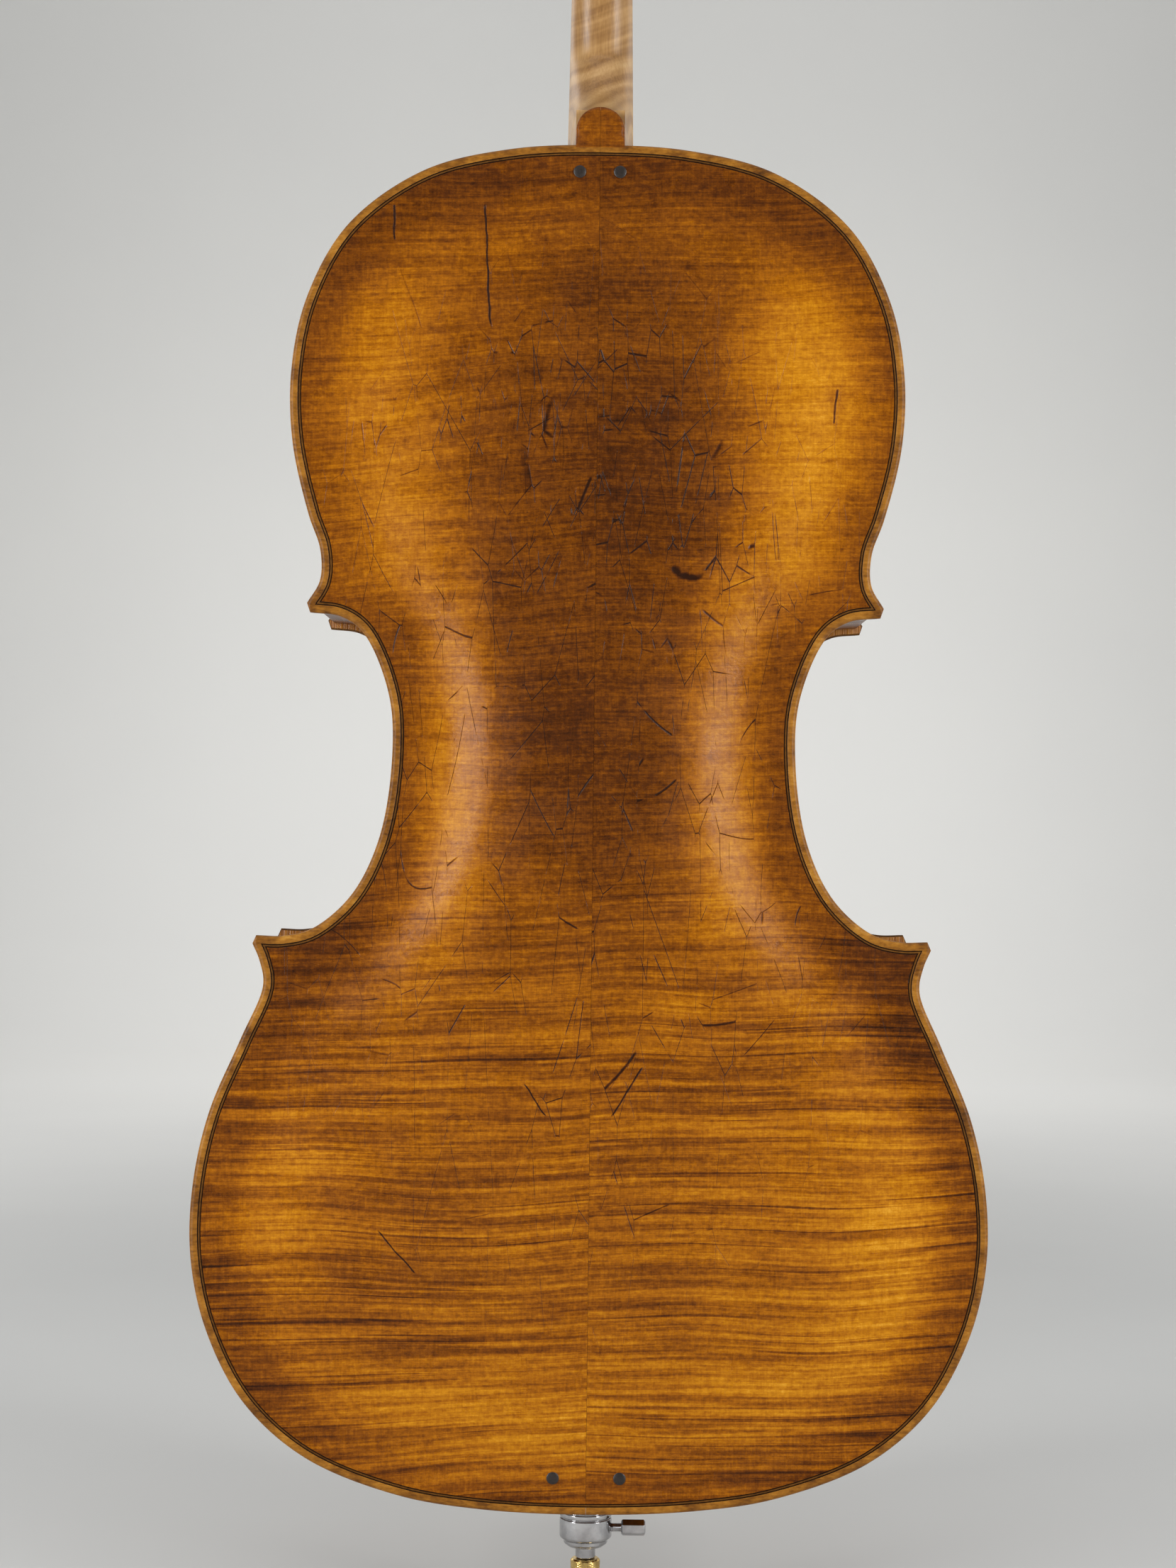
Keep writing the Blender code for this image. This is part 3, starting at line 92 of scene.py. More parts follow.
# head, in its own plane: a runs up the pegbox and b towards the strings
HEAD_LEAN = math.radians(17)
HEAD_BASE = (0, ROOT_Y + NECK_TAN * (NECK_END_Z - TOP_Z), NECK_END_Z + GAP)
EYE = (0.163, -0.004)
SPIRAL_RADIUS, SPIRAL_DECAY, SPIRAL_TURNS = 0.031, 0.085, 2.25
STATIONS_PER_TURN = 72
PEG_PLACES = {"c": (0.030, -0.0145), "a": (0.055, -0.0160), "g": (0.082, -0.0165),
              "d": (0.106, -0.0160)}
PEG_SIDE = {"c": -1, "g": -1, "d": 1, "a": 1}
PEG_RADIUS = 0.0066

# bridge, tailpiece and strings
BRIDGE_Z = BODY_Z + 0.355
BRIDGE_TOP_Y = -0.1712
BRIDGE_RADIUS = 0.062
BRIDGE_FOOT_THICK, BRIDGE_TOP_THICK = 0.011, 0.0028
TAIL_TOP, TAIL_BOTTOM = (-0.1350, 0.310), (-0.0800, 0.0765)     # as (Y, Z) on its underside
TUNER_X = {"c": -0.0185, "g": -0.0062, "d": 0.0062, "a": 0.0185}
STRING_RADIUS = {"c": 0.00095, "g": 0.00070, "d": 0.00060, "a": 0.00045}
STRING_ORDER = ("c", "g", "d", "a")
BRIDGE_SPACING, NUT_SPACING = 0.0470 / 3, 0.0220 / 3

SADDLE_HALF, SADDLE_DEPTH, SADDLE_FRONT_Y = 0.020, 0.0040, -0.0735
CORD_RADIUS, CORD_Z = 0.0013, 0.0682
TAIL_CORD_X = 0.009

# endpin
COLLAR_TOP, COLLAR_BOTTOM = 0.0652, 0.0375
PLUG_NECK, PLUG_FLANGE, PLUG_RADIUS = 0.0125, 0.0135, 0.0122
ROD_RADIUS, ROD_LOW, ROD_TOP = 0.0057, 0.0308, 0.500
BORE_RADIUS = ROD_RADIUS + 0.0004
FERRULE_LOW, FERRULE_TOP = 0.0115, 0.0305
THUMB_Z, THUMB_RADIUS = 0.0480, 0.0025
THUMB_KNOB = (-0.0203, -0.0343)


def smooth_line(points, before, after, steps=24):
    """A dense line through points, as a centripetal Catmull-Rom curve."""
    row = [np.array(p, float) for p in (before, *points, after)]
    line = []
    for p0, p1, p2, p3 in zip(row, row[1:], row[2:], row[3:]):
        t1 = np.linalg.norm(p1 - p0) ** 0.5
        t2 = t1 + np.linalg.norm(p2 - p1) ** 0.5
        t3 = t2 + np.linalg.norm(p3 - p2) ** 0.5
        for t in np.linspace(t1, t2, steps, endpoint=False):
            a1 = (p0 * (t1 - t) + p1 * t) / t1
            a2 = (p1 * (t2 - t) + p2 * (t - t1)) / (t2 - t1)
            a3 = (p2 * (t3 - t) + p3 * (t - t2)) / (t3 - t2)
            b1 = (a1 * (t2 - t) + a2 * t) / t2
            b2 = (a2 * (t3 - t) + a3 * (t - t1)) / (t3 - t1)
            line.append((b1 * (t2 - t) + b2 * (t - t1)) / (t2 - t1))
    line.append(row[-2])
    return np.array(line)


def beyond(points):
    """The point that carries a row of points straight on."""
    last, previous = np.array(points[-1]), np.array(points[-2])
    return 2 * last - previous


def mirrored(point):
    return (-point[0], point[1])


def shifted(line, inset):
    """A line moved to its left, which is the inner side of the body."""
    along = np.gradient(line, axis=0)
    along /= np.linalg.norm(along, axis=1)[:, None]
    return line + inset * np.column_stack((-along[:, 1], along[:, 0]))


def crossing(one, two):
    """Where two lines cross, as (index on one, index on two, point), or None."""
    p, r = one[:-1, None], np.diff(one, axis=0)[:, None]
    q, s = two[None, :-1], np.diff(two, axis=0)[None, :]
    cross = r[..., 0] * s[..., 1] - r[..., 1] * s[..., 0]
    gap = q - p
    with np.errstate(divide="ignore", invalid="ignore"):
        t = (gap[..., 0] * s[..., 1] - gap[..., 1] * s[..., 0]) / cross
        u = (gap[..., 0] * r[..., 1] - gap[..., 1] * r[..., 0]) / cross
    hits = np.argwhere((t >= 0) & (t <= 1) & (u >= 0) & (u <= 1))
    if not len(hits):
        return None
    i, j = hits[-1]
    return i, j, one[i] + t[i, j] * (one[i + 1] - one[i])


BOUTS = (smooth_line(LOWER_BOUT, mirrored(LOWER_BOUT[1]), beyond(LOWER_BOUT)),
         smooth_line(WAIST, beyond(WAIST[::-1]), beyond(WAIST)),
         smooth_line(UPPER_BOUT, beyond(UPPER_BOUT[::-1]), mirrored(UPPER_BOUT[-2])))


def inset_bouts(inset):
    """The three bouts moved inwards and mitred at the corners."""
    lines = [shifted(bout, inset) for bout in BOUTS] if inset else list(BOUTS)
    for k in range(2):
        hit = crossing(lines[k], lines[k + 1])
        if hit:
            i, j, point = hit
            lines[k] = np.vstack((lines[k][:i + 1], point))
            lines[k + 1] = np.vstack((point, lines[k + 1][j + 1:]))
    return lines


def lengths(line):
    return np.concatenate(([0], np.cumsum(np.linalg.norm(np.diff(line, axis=0), axis=1))))


def points_at(line, places):
    """Points at distances along a line."""
    along = lengths(line)
    return np.column_stack([np.interp(places, along, line[:, k]) for k in range(2)])


def bout_places(k, total):
    """Distances along a bout, closer together towards the corners."""
    t = np.linspace(0, 1, BOUT_SEGMENTS[k] + 1)
    if k == 0:
        return total * (0.5 * t + 0.5 * np.sin(t * math.pi / 2))
    if k == 1:
        return total * (0.5 * t + 0.25 * (1 - np.cos(t * math.pi)))
    places = (total - BUTTON_HALF) * (0.5 * t[:-1] / t[-2]
                                      + 0.5 * (1 - np.cos(t[:-1] / t[-2] * math.pi / 2)))
    return np.append(places, total)


def ring(inset):
    """Half outline at an inset, from the bottom's centre round to the top's centre."""
    lines = inset_bouts(inset)
    return np.vstack([points_at(line, bout_places(k, lengths(line)[-1]))
                      for k, line in enumerate(lines)])


FLUTE_RING = ring(FLUTE_INSET)


def smoothed_widths():
    """Half widths inside the fluting, evened out so that the arch runs softly past the corners."""
    heights = np.linspace(-0.1, BODY_LENGTH + 0.1, 192)
    widths = np.interp(heights, FLUTE_RING[:, 1], FLUTE_RING[:, 0], left=0, right=0)
    window = np.hanning(25)
    return heights, np.convolve(widths, window / window.sum(), "same")


WIDTH_HEIGHTS, WIDTHS = smoothed_widths()


def arch_level(flat, depth, peak):
    """Height of a plate's outer surface above its gluing plane, at (x, height) points that lie
    a given depth inside the fluting."""
    x, height = flat[:, 0], flat[:, 1]
    across = np.clip(1 - x / np.interp(height, WIDTH_HEIGHTS, WIDTHS), 0, 1)
    reach = BODY_LENGTH / 2 - FLUTE_INSET
    along = np.clip(1 - np.abs(height - BODY_LENGTH / 2) / reach, 0, 1)
    ridge = np.sin(math.pi / 2 * along ** 0.55) ** 2
    scoop = np.sin(math.pi / 2 * np.clip(depth / 0.045, 0, 1) ** 0.8) ** 2
    bow = np.sin(math.pi / 2 * across ** 0.75) ** 2
    return FLUTE_LEVEL + (peak - FLUTE_LEVEL) * ridge * bow * scoop


def spine_heights():
    """Where on the centre line each outline point's ray ends."""
    corner_low, corner_high = 0.300, 0.515
    stops = [(SPINE_LOW, corner_low), (corner_low, corner_high), (corner_high, SPINE_HIGH)]
    rows = []
    for k, (start, end) in enumerate(stops):
        places = bout_places(k, 1.0) if k < 2 else bout_places(k, lengths(BOUTS[2])[-1])
        rows.append(start + (end - start) * places / places[-1])
    return np.concatenate(rows)


SPINE = spine_heights()


def neck_face(z):
    """Y of the neck's gluing face, which is the fingerboard's underside."""
    return ROOT_Y + NECK_TAN * (z - TOP_Z)


def board_half(z):
    return NUT_HALF + (ROOT_HALF - NUT_HALF) * (NUT_Z - z) / NECK_LENGTH


def head_point(a, b, x=0.0):
    """World place of a point in the head's own plane."""
    up, front = (math.sin(HEAD_LEAN), math.cos(HEAD_LEAN)), (-math.cos(HEAD_LEAN),
                                                             math.sin(HEAD_LEAN))
    return Vector((x, HEAD_BASE[1] + a * up[0] + b * front[0],
                   HEAD_BASE[2] + a * up[1] + b * front[1]))


def spiral_radius(angle):
    return SPIRAL_RADIUS * math.exp(-SPIRAL_DECAY * angle)


def spiral_half(angle):
    """Half width of the scroll, which grows from the back of the first turn to the eye."""
    turns = angle / math.tau
    return float(np.interp(turns, (0, 0.25, 0.5, 1, 1.5, 2, SPIRAL_TURNS),
                           (0.0142, 0.0138, 0.0150, 0.0200, 0.0255, 0.0300, 0.0318)))


def tail_frame():
    """Directions along the tailpiece's underside, towards the saddle, and out of its top."""
    along = Vector((0, TAIL_BOTTOM[0] - TAIL_TOP[0], TAIL_BOTTOM[1] - TAIL_TOP[1]))
    length = along.length
    along.normalize()
    return length, along, Vector((0, along.z, -along.y))


TAIL_LENGTH, TAIL_ALONG, TAIL_OUT = tail_frame()


def tail_point(along, out, x=0.0):
    return Vector((x, TAIL_TOP[0], TAIL_TOP[1])) + TAIL_ALONG * along + TAIL_OUT * out


# ---------------------------------------------------------------- shader nodes

class Finish:
    """A material and short ways to lay its nodes, with positions in metres in the row frame."""

    def __init__(self, name, roughness=0.4, metallic=0.0, **constants):
        self.made = bpy.data.materials.new(name)
        self.made.use_nodes = True
        self.tree = self.made.node_tree
        self.surface = self.tree.nodes["Principled BSDF"]
        self.surface.inputs["Metallic"].default_value = metallic
        self.surface.inputs["Roughness"].default_value = roughness
        for socket, amount in constants.items():
            self.surface.inputs[socket.replace("_", " ")].default_value = amount
        self.place = self.add("ShaderNodeTexCoord").outputs["Object"]
        split = self.add("ShaderNodeSeparateXYZ")
        self.tree.links.new(self.place, split.inputs[0])
        self.x, self.y, self.z = split.outputs

    def add(self, kind, **settings):
        node = self.tree.nodes.new(kind)
        for key, value in settings.items():
            setattr(node, key, value)
        return node

    def put(self, socket, value):
        if isinstance(value, bpy.types.NodeSocket):
            self.tree.links.new(value, socket)
        else:
            socket.default_value = value

    def math(self, operation, one, two=0.0, three=0.0):
        node = self.add("ShaderNodeMath", operation=operation)
        for socket, value in zip(node.inputs, (one, two, three)):
            self.put(socket, value)
        return node.outputs[0]

    def plus(self, *values):
        total = values[0]
        for value in values[1:]:
            total = self.math("ADD", total, value)
        return total

    def minus(self, one, two):
        return self.math("SUBTRACT", one, two)

    def times(self, one, two):
        return self.math("MULTIPLY", one, two)

    def centred(self, value, amount):
        """A noise value about its middle, with its reach set."""
        return self.times(self.minus(value, 0.5), amount)

    def line(self, value, slope, start):
        """slope * value + start"""
        return self.math("MULTIPLY_ADD", value, slope, start)

    def vector(self, x, y, z):
        node = self.add("ShaderNodeCombineXYZ")
        for socket, value in zip(node.inputs, (x, y, z)):
            self.put(socket, value)
        return node.outputs[0]

    def scaled(self, scale, offset=(0, 0, 0), turn=(0, 0, 0)):
        node = self.add("ShaderNodeMapping")
        self.put(node.inputs["Vector"], self.place)
        node.inputs["Location"].default_value = offset
        node.inputs["Rotation"].default_value = turn
        node.inputs["Scale"].default_value = scale
        return node.outputs[0]

    def noise(self, where, detail=2.0, roughness=0.5):
        node = self.add("ShaderNodeTexNoise")
        self.put(node.inputs["Vector"], where)
        node.inputs["Scale"].default_value = 1.0
        node.inputs["Detail"].default_value = detail
        node.inputs["Roughness"].default_value = roughness
        return node.outputs["Fac"]

    def edges(self, where):
        """Distance from the edges between random cells."""
        node = self.add("ShaderNodeTexVoronoi", feature="DISTANCE_TO_EDGE")
        self.put(node.inputs["Vector"], where)
        node.inputs["Scale"].default_value = 1.0
        return node.outputs["Distance"]

    def span(self, value, low, high, start=0.0, end=1.0):
        node = self.add("ShaderNodeMapRange", interpolation_type="SMOOTHSTEP")
        for socket, amount in zip(node.inputs, (value, low, high, start, end)):
            self.put(socket, amount)
        return node.outputs[0]

    def ramp(self, value, *stops):
        node = self.add("ShaderNodeValToRGB")
        self.put(node.inputs[0], value)
        band = node.color_ramp
        while len(band.elements) < len(stops):
            band.elements.new(0.5)
        for element, (spot, colour) in zip(band.elements, stops):
            element.position = spot
            element.color = (*colour, 1)
        return node.outputs[0]

    def mix(self, share, one, two):
        node = self.add("ShaderNodeMix", data_type="RGBA")
        self.put(node.inputs[0], share)
        for socket, value in ((node.inputs[6], one), (node.inputs[7], two)):
            self.put(socket, (*value, 1) if isinstance(value, tuple) else value)
        return node.outputs[2]

    def colour(self, value):
        self.put(self.surface.inputs["Base Color"], value)

    def rough(self, value):
        self.put(self.surface.inputs["Roughness"], value)

    def stored(self, name):
        """A number kept with each corner of the mesh."""
        return self.add("ShaderNodeAttribute", attribute_name=name).outputs["Fac"]

    def bump(self, height, depth, strength=1.0):
        node = self.add("ShaderNodeBump")
        node.inputs["Strength"].default_value = strength
        node.inputs["Distance"].default_value = depth
        self.put(node.inputs["Height"], height)
        self.put(self.surface.inputs["Normal"], node.outputs[0])

    def spot(self, x, z, wide, tall):
        """1 at a place on the plate, falling to 0 at an ellipse round it."""
        u = self.times(self.minus(self.x, x), 1 / wide)
        v = self.times(self.minus(self.z, z), 1 / tall)
        square = self.plus(self.times(u, u), self.times(v, v))
        return self.span(square, 1.0, 0.0)


VARNISH = ((0.0, (0.020, 0.005, 0.0006)), (0.20, (0.074, 0.018, 0.0008)),
           (0.38, (0.172, 0.047, 0.0010)), (0.55, (0.320, 0.101, 0.0016)),
           (0.74, (0.500, 0.196, 0.0050)), (1.0, (0.740, 0.390, 0.0400)))
# dark (or, with a minus sign, light) patches: x, z, half width, half height, how much; the dark ones are
# partly dirty varnish and partly painted shade down the middle and near the edges, the light ones are
# painted highlights on the upper sides, along the waist and low on the body
DIRT_AND_PAINTED_LIGHT_PATCHES = ((-0.040, 0.655, 0.080, 0.075, 0.06), (0.012, 0.478, 0.075, 0.08, 0.09),
          (0.0, 0.56, 0.09, 0.26, 0.11), (-0.02, 0.77, 0.14, 0.06, 0.10),
          (0.150, 0.345, 0.05, 0.07, 0.12), (0.02, 0.66, 0.15, 0.22, 0.06),
          (0.13, 0.80, 0.10, 0.06, 0.08), (-0.165, 0.36, 0.05, 0.07, 0.08),
          (0.120, 0.655, 0.055, 0.11, -0.12), (-0.115, 0.665, 0.06, 0.12, -0.16),
          (0.078, 0.50, 0.030, 0.14, -0.12), (-0.073, 0.50, 0.030, 0.14, -0.12),
          (-0.13, 0.22, 0.10, 0.13, -0.10), (0.13, 0.19, 0.10, 0.10, 0.02),
          (0.0, 0.12, 0.16, 0.06, -0.06))
# groups of scratches: turn, scale, width of a line, and the ellipse that they lie in
SCRATCHES = ((0.5, (110, 110, 26), 0.020, (0.002, 0.702, 0.085, 0.040)),
             (-1.1, (110, 110, 26), 0.024, (0.075, 0.668, 0.075, 0.026)),
             (0.9, (80, 80, 24), 0.018, (-0.04, 0.62, 0.11, 0.10)),
             (-0.4, (44, 44, 13), 0.0060, (0.02, 0.52, 0.22, 0.30)),
             (1.2, (48, 48, 12), 0.0058, (0.0, 0.46, 0.22, 0.36)))
# single cracks: x, z, lean, half length
CRACKS = ((0.0612, 0.757, 0.068, 0.036), (0.1130, 0.781, 0.04, 0.010),
          (-0.1310, 0.682, -0.10, 0.010), (0.105, 0.215, 0.9, 0.012),
          (-0.02, 0.305, -0.6, 0.014), (0.030, 0.300, 0.7, 0.009))


def flamed_maple(name, slope, seed, wear=1.0, vertical=False, level=0.5):
    """Varnished maple with broad flame low on the body and fine flame above it."""
    f = Finish(name, 0.34)
    f.surface.inputs["Specular IOR Level"].default_value = 0.14
    across = f.plus(f.x, f.y) if vertical else f.x
    drift = f.noise(f.scaled((6, 6, 5), (seed, 0, 0)), 1.0)
    height = f.plus(f.z, f.times(across, slope), f.centred(drift, 0.020))
    low = f.span(f.z, 0.46, 0.30)

    def grain(along, shift, fineness, detail, roughness):
        where = f.vector(f.times(across, along), seed + shift, f.times(height, fineness))
        return f.noise(where, detail, roughness)

    wide = f.times(f.span(grain(4.5, 0, 120.0, 3.0, 0.62), 0.38, 0.58, -0.5, 0.5),
                   f.line(low, 0.09, 0.05))
    thin = f.times(f.span(grain(8.0, 3, 300.0, 3.0, 0.65), 0.36, 0.60, -0.5, 0.5),
                   f.line(low, 0.09, 0.08))
    hair = f.centred(grain(30.0, 7, 950.0, 2.0, 0.6), 0.26)
    pores = f.centred(f.noise(f.scaled((230, 230, 420), (seed, 4, 1)), 4.0, 0.78), 0.58)
    weave = f.centred(f.noise(f.scaled((900, 900, 110), (seed, 9, 1)), 2.0, 0.6), 0.20)
    mottle = f.noise(f.scaled((13, 13, 9), (seed + 2, 1, 5)), 4.0, 0.6)
    tone = f.plus(wide, thin, hair, pores, weave, f.centred(mottle, 0.22 * wear), level)
    relief = f.plus(f.times(pores, 0.8), hair, f.times(thin, 0.5))
    # wear turns on dark flame streaks and the worn varnish, which brings real dirt, scratches and cracks
    # together with painted shade and painted highlights
    if wear:
        streak = f.span(grain(3.4, 5, 360.0, 2.0, 0.5), 0.60, 0.66)
        tone = f.minus(tone, f.times(streak, f.line(low, 0.17, 0.04)))
        tone, dirt = varnish_wear_and_painted_light(f, tone, seed)
        relief = f.minus(relief, f.times(dirt, 1.5))
    f.colour(f.ramp(tone, *VARNISH))
    shine = f.noise(f.scaled((40, 40, 40), (0, seed, 0)), 4.0, 0.6)
    f.rough(f.span(shine, 0.3, 0.7, 0.22, 0.38))
    f.bump(relief, 0.00042, 0.85)
    return f.made


def varnish_wear_and_painted_light(f, tone, seed):
    """Adds painted shade at the rim, a painted highlight band inside it, patches of dirt, painted shade and
    painted highlights, grime, scratches and cracks to the tone; also gives the dirt.
    """
    inset = f.stored("inset")
    # painted shade: the plate's colour is darkened within 34 mm of its edge, most within 13 mm
    tone = f.minus(tone, f.times(f.span(inset, 0.034, 0.013), 0.11))
    # painted highlight: a lighter band from about 24 to 85 mm in from the edge
    painted_highlight_band = f.times(f.span(inset, 0.024, 0.044), f.span(inset, 0.085, 0.050))
    tone = f.plus(tone, f.times(painted_highlight_band, 0.08))
    # patches of dirt, painted shade and painted highlights
    for x, z, wide, tall, depth in DIRT_AND_PAINTED_LIGHT_PATCHES:
        tone = f.plus(tone, f.times(f.spot(x, z, wide, tall), -depth))
    speck = f.span(f.noise(f.scaled((48, 48, 34), (seed, 3, 3)), 5.0, 0.7), 0.54, 0.72)
    dirt = f.times(speck, f.line(f.spot(-0.01, 0.60, 0.16, 0.27), 0.08, 0.04))
    tone = f.minus(tone, dirt)
    for turn, scale, limit, where in SCRATCHES:
        edges = f.edges(f.scaled(scale, (seed, 0, 0), (0, turn, 0)))
        broken = f.span(f.noise(f.scaled((46, 46, 46), (seed, turn, 0)), 2.0), 0.47, 0.54)
        mark = f.times(f.times(f.span(edges, limit, 0.0), f.spot(*where)), broken)
        dirt = f.plus(dirt, f.times(mark, 0.5))
        tone = f.minus(tone, f.times(mark, 0.50))
    for x, z, lean, tall in CRACKS:
        wobble = f.centred(f.noise(f.scaled((70, 70, 70))), 0.003)
        up = f.minus(f.z, z)
        off = f.plus(f.x, f.times(up, -lean), wobble, -x)
        crack = f.times(f.span(f.math("ABSOLUTE", off), 0.0007, 0.0002),
                        f.span(f.math("ABSOLUTE", up), tall, tall * 0.85))
        dirt = f.plus(dirt, f.times(crack, 0.8))
        tone = f.minus(tone, f.times(crack, 0.45))
    return tone, dirt


def worn_edge(name, shade=1.0):
    """The rounded rim of a plate, rubbed down to golden wood with dark nicks; a shade below 1 darkens all
    its colours, which paints shade onto a copy.
    """
    f = Finish(name, 0.42)
    patches = f.noise(f.scaled((60, 60, 60)), 4.0, 0.6)
    grain = f.noise(f.scaled((240, 240, 700)), 3.0, 0.6)
    tone = f.plus(f.times(patches, 0.65), f.times(grain, 0.40))
    f.surface.inputs["Specular IOR Level"].default_value = 0.22
    stops = ((0.30, (0.035, 0.011, 0.001)), (0.44, (0.15, 0.052, 0.003)),
             (0.60, (0.30, 0.120, 0.010)), (0.80, (0.50, 0.25, 0.040)))
    f.colour(f.ramp(tone, *((place, tuple(c * shade for c in tint)) for place, tint in stops)))
    f.bump(grain, 0.0003, 0.6)
    return f.made


def spruce(name, stops, scale=1.0):
    """Straight-grained spruce: narrow dark summer lines up the body."""
    f = Finish(name, 0.36, Coat_Weight=0.25, Coat_Roughness=0.2)
    wander = f.noise(f.scaled((5, 0, 3)), 2.0)
    x = f.line(wander, 0.004, f.math("ABSOLUTE", f.x))
    lines = f.noise(f.vector(f.times(x, 1150.0 * scale), 0.0,
                             f.times(f.z, 2.0)), 1.0, 0.5)
    lines = f.span(lines, 0.36, 0.60)
    bands = f.noise(f.vector(f.times(x, 60.0), 3.0, f.times(f.z, 1.5)), 3.0)
    silk = f.noise(f.scaled((60, 60, 300)), 2.0)
    mottle = f.noise(f.scaled((10, 10, 7)), 4.0, 0.6)
    tone = f.plus(f.times(lines, 0.13), f.times(bands, 0.16),
                  f.times(silk, 0.16), f.times(mottle, 0.44))
    middle = f.times(f.spot(0.0, 0.45, 0.16, 0.26), 0.10)
    tone = f.minus(tone, middle)
    f.colour(f.ramp(tone, *stops))
    f.rough(f.span(mottle, 0.3, 0.7, 0.28, 0.46))
    f.bump(f.plus(lines, f.times(silk, 0.4)), 0.00022, 0.6)
    return f.made


def neck_maple(name):
    """Pale oiled maple with slanting flame and fine dark pores."""
    f = Finish(name, 0.42)
    drift = f.noise(f.scaled((14, 14, 10)), 2.0)
    height = f.plus(f.z, f.times(f.x, 0.42), f.times(f.y, 0.25), f.times(drift, 0.018))
    flame = f.noise(f.vector(f.times(f.x, 9.0), 1.0,
                             f.times(height, 135.0)), 2.0, 0.5)
    fine = f.noise(f.scaled((900, 900, 45)), 3.0, 0.6)
    dust = f.noise(f.scaled((35, 35, 18)), 4.0, 0.6)
    tone = f.plus(f.times(f.span(flame, 0.3, 0.7), 0.30), f.times(fine, 0.34), f.times(dust, 0.36))
    f.colour(f.ramp(tone, (0.22, (0.15, 0.062, 0.014)), (0.40, (0.28, 0.142, 0.042)),
                    (0.58, (0.40, 0.225, 0.080)), (0.80, (0.55, 0.36, 0.160))))
    f.rough(f.span(dust, 0.3, 0.7, 0.34, 0.50))
    f.bump(fine, 0.00018, 0.5)
    return f.made


def plain_wood(name, dark, light, scale=(500, 500, 30), roughness=0.5, depth=0.0002, coat=0.0,
               specular=0.5):
    f = Finish(name, roughness, Coat_Weight=coat, Coat_Roughness=0.2)
    f.surface.inputs["Specular IOR Level"].default_value = specular
    grain = f.noise(f.scaled(scale), 4.0, 0.65)
    clouds = f.noise(f.scaled((30, 30, 18)), 3.0, 0.5)
    tone = f.plus(f.times(grain, 0.6), f.times(clouds, 0.4))
    f.colour(f.ramp(tone, (0.35, dark), (0.65, light)))
    f.rough(f.span(clouds, 0.3, 0.7, roughness - 0.07, roughness + 0.1))
    f.bump(grain, depth, 0.5)
    return f.made


def metal(name, dark, light, roughness, scratch=(300, 300, 300), depth=0.00004):
    f = Finish(name, roughness, 1.0)
    wear = f.noise(f.scaled((90, 90, 90)), 4.0, 0.6)
    fine = f.noise(f.scaled(scratch), 3.0, 0.6)
    f.colour(f.ramp(wear, (0.3, dark), (0.65, light)))
    f.rough(f.span(fine, 0.3, 0.75, roughness * 0.6, roughness * 1.7))
    f.bump(fine, depth, 0.4)
    return f.made


def string_finish(name, turns_per_m, tint):
    """Flat metal ribbon wound round a core: fine rings along the string."""
    f = Finish(name, 0.3, 1.0)
    rings = f.add("ShaderNodeTexWave", wave_type="BANDS", bands_direction="Z")
    f.put(rings.inputs["Vector"], f.place)
    rings.inputs["Scale"].default_value = turns_per_m / 20.0
    wear = f.noise(f.scaled((60, 60, 60)), 3.0)
    f.colour(f.mix(wear, tuple(c * 0.7 for c in tint), tint))
    f.bump(rings.outputs["Fac"], 0.00008, 0.6)
    return f.made


def thread(name, colour, along=2600.0):
    """Silk or braid: slanting threads."""
    f = Finish(name, 0.75)
    slant = f.plus(f.z, f.times(f.x, 0.6))
    threads = f.math("SINE", f.times(slant, along * math.tau))
    fibre = f.noise(f.scaled((900, 900, 900)), 2.0)
    f.colour(f.mix(fibre, tuple(c * 0.5 for c in colour), colour))
    f.bump(f.plus(threads, fibre), 0.0001, 0.6)
    return f.made


def matte(name, colour, roughness=0.7, scale=700.0):
    f = Finish(name, roughness)
    dust = f.noise(f.scaled((scale, scale, scale)), 3.0)
    f.colour(f.mix(dust, tuple(c * 0.7 for c in colour), tuple(min(c * 1.3, 1) for c in colour)))
    f.rough(f.span(dust, 0.3, 0.7, roughness - 0.1, roughness + 0.1))
    f.bump(dust, 0.00006, 0.4)
    return f.made


BACK_MAPLE = {1: flamed_maple("back_maple_treble", 0.055, 11.0, level=0.435),
              -1: flamed_maple("back_maple_bass", 0.02, 29.0, level=0.425)}
RIB_MAPLE = flamed_maple("rib_maple", 0.0, 47.0, 0.0, True, level=0.30)
HEAD_MAPLE = flamed_maple("head_maple", 0.0, 61.0, 0.0, True, level=0.37)
BUTTON_MAPLE = flamed_maple("button_maple", 0.0, 83.0, 0.0, level=0.36)
EDGE_MAPLE = worn_edge("worn_edge")
# painted shade: a copy of the worn edge darkened to 38 % for the top plate's rim
SHADED_TOP_EDGE = worn_edge("top_edge", 0.38)
TOP_SPRUCE = spruce("top_spruce", ((0.16, (0.07, 0.018, 0.0015)), (0.34, (0.19, 0.058, 0.003)),
                                   (0.50, (0.34, 0.125, 0.008)), (0.72, (0.55, 0.26, 0.030))))
BARE_SPRUCE = spruce("bare_spruce", ((0.20, (0.25, 0.14, 0.06)), (0.74, (0.62, 0.44, 0.24))))
WILLOW = plain_wood("willow", (0.40, 0.26, 0.13), (0.66, 0.50, 0.31), roughness=0.7)
NECK_MAPLE = neck_maple("neck_maple")
BRIDGE_MAPLE = plain_wood("bridge_maple", (0.30, 0.15, 0.055), (0.58, 0.37, 0.17), (900, 120, 300))
EBONY = plain_wood("ebony", (0.006, 0.005, 0.004), (0.030, 0.022, 0.016), (700, 700, 24), 0.34,
                   0.00008, 0.2)
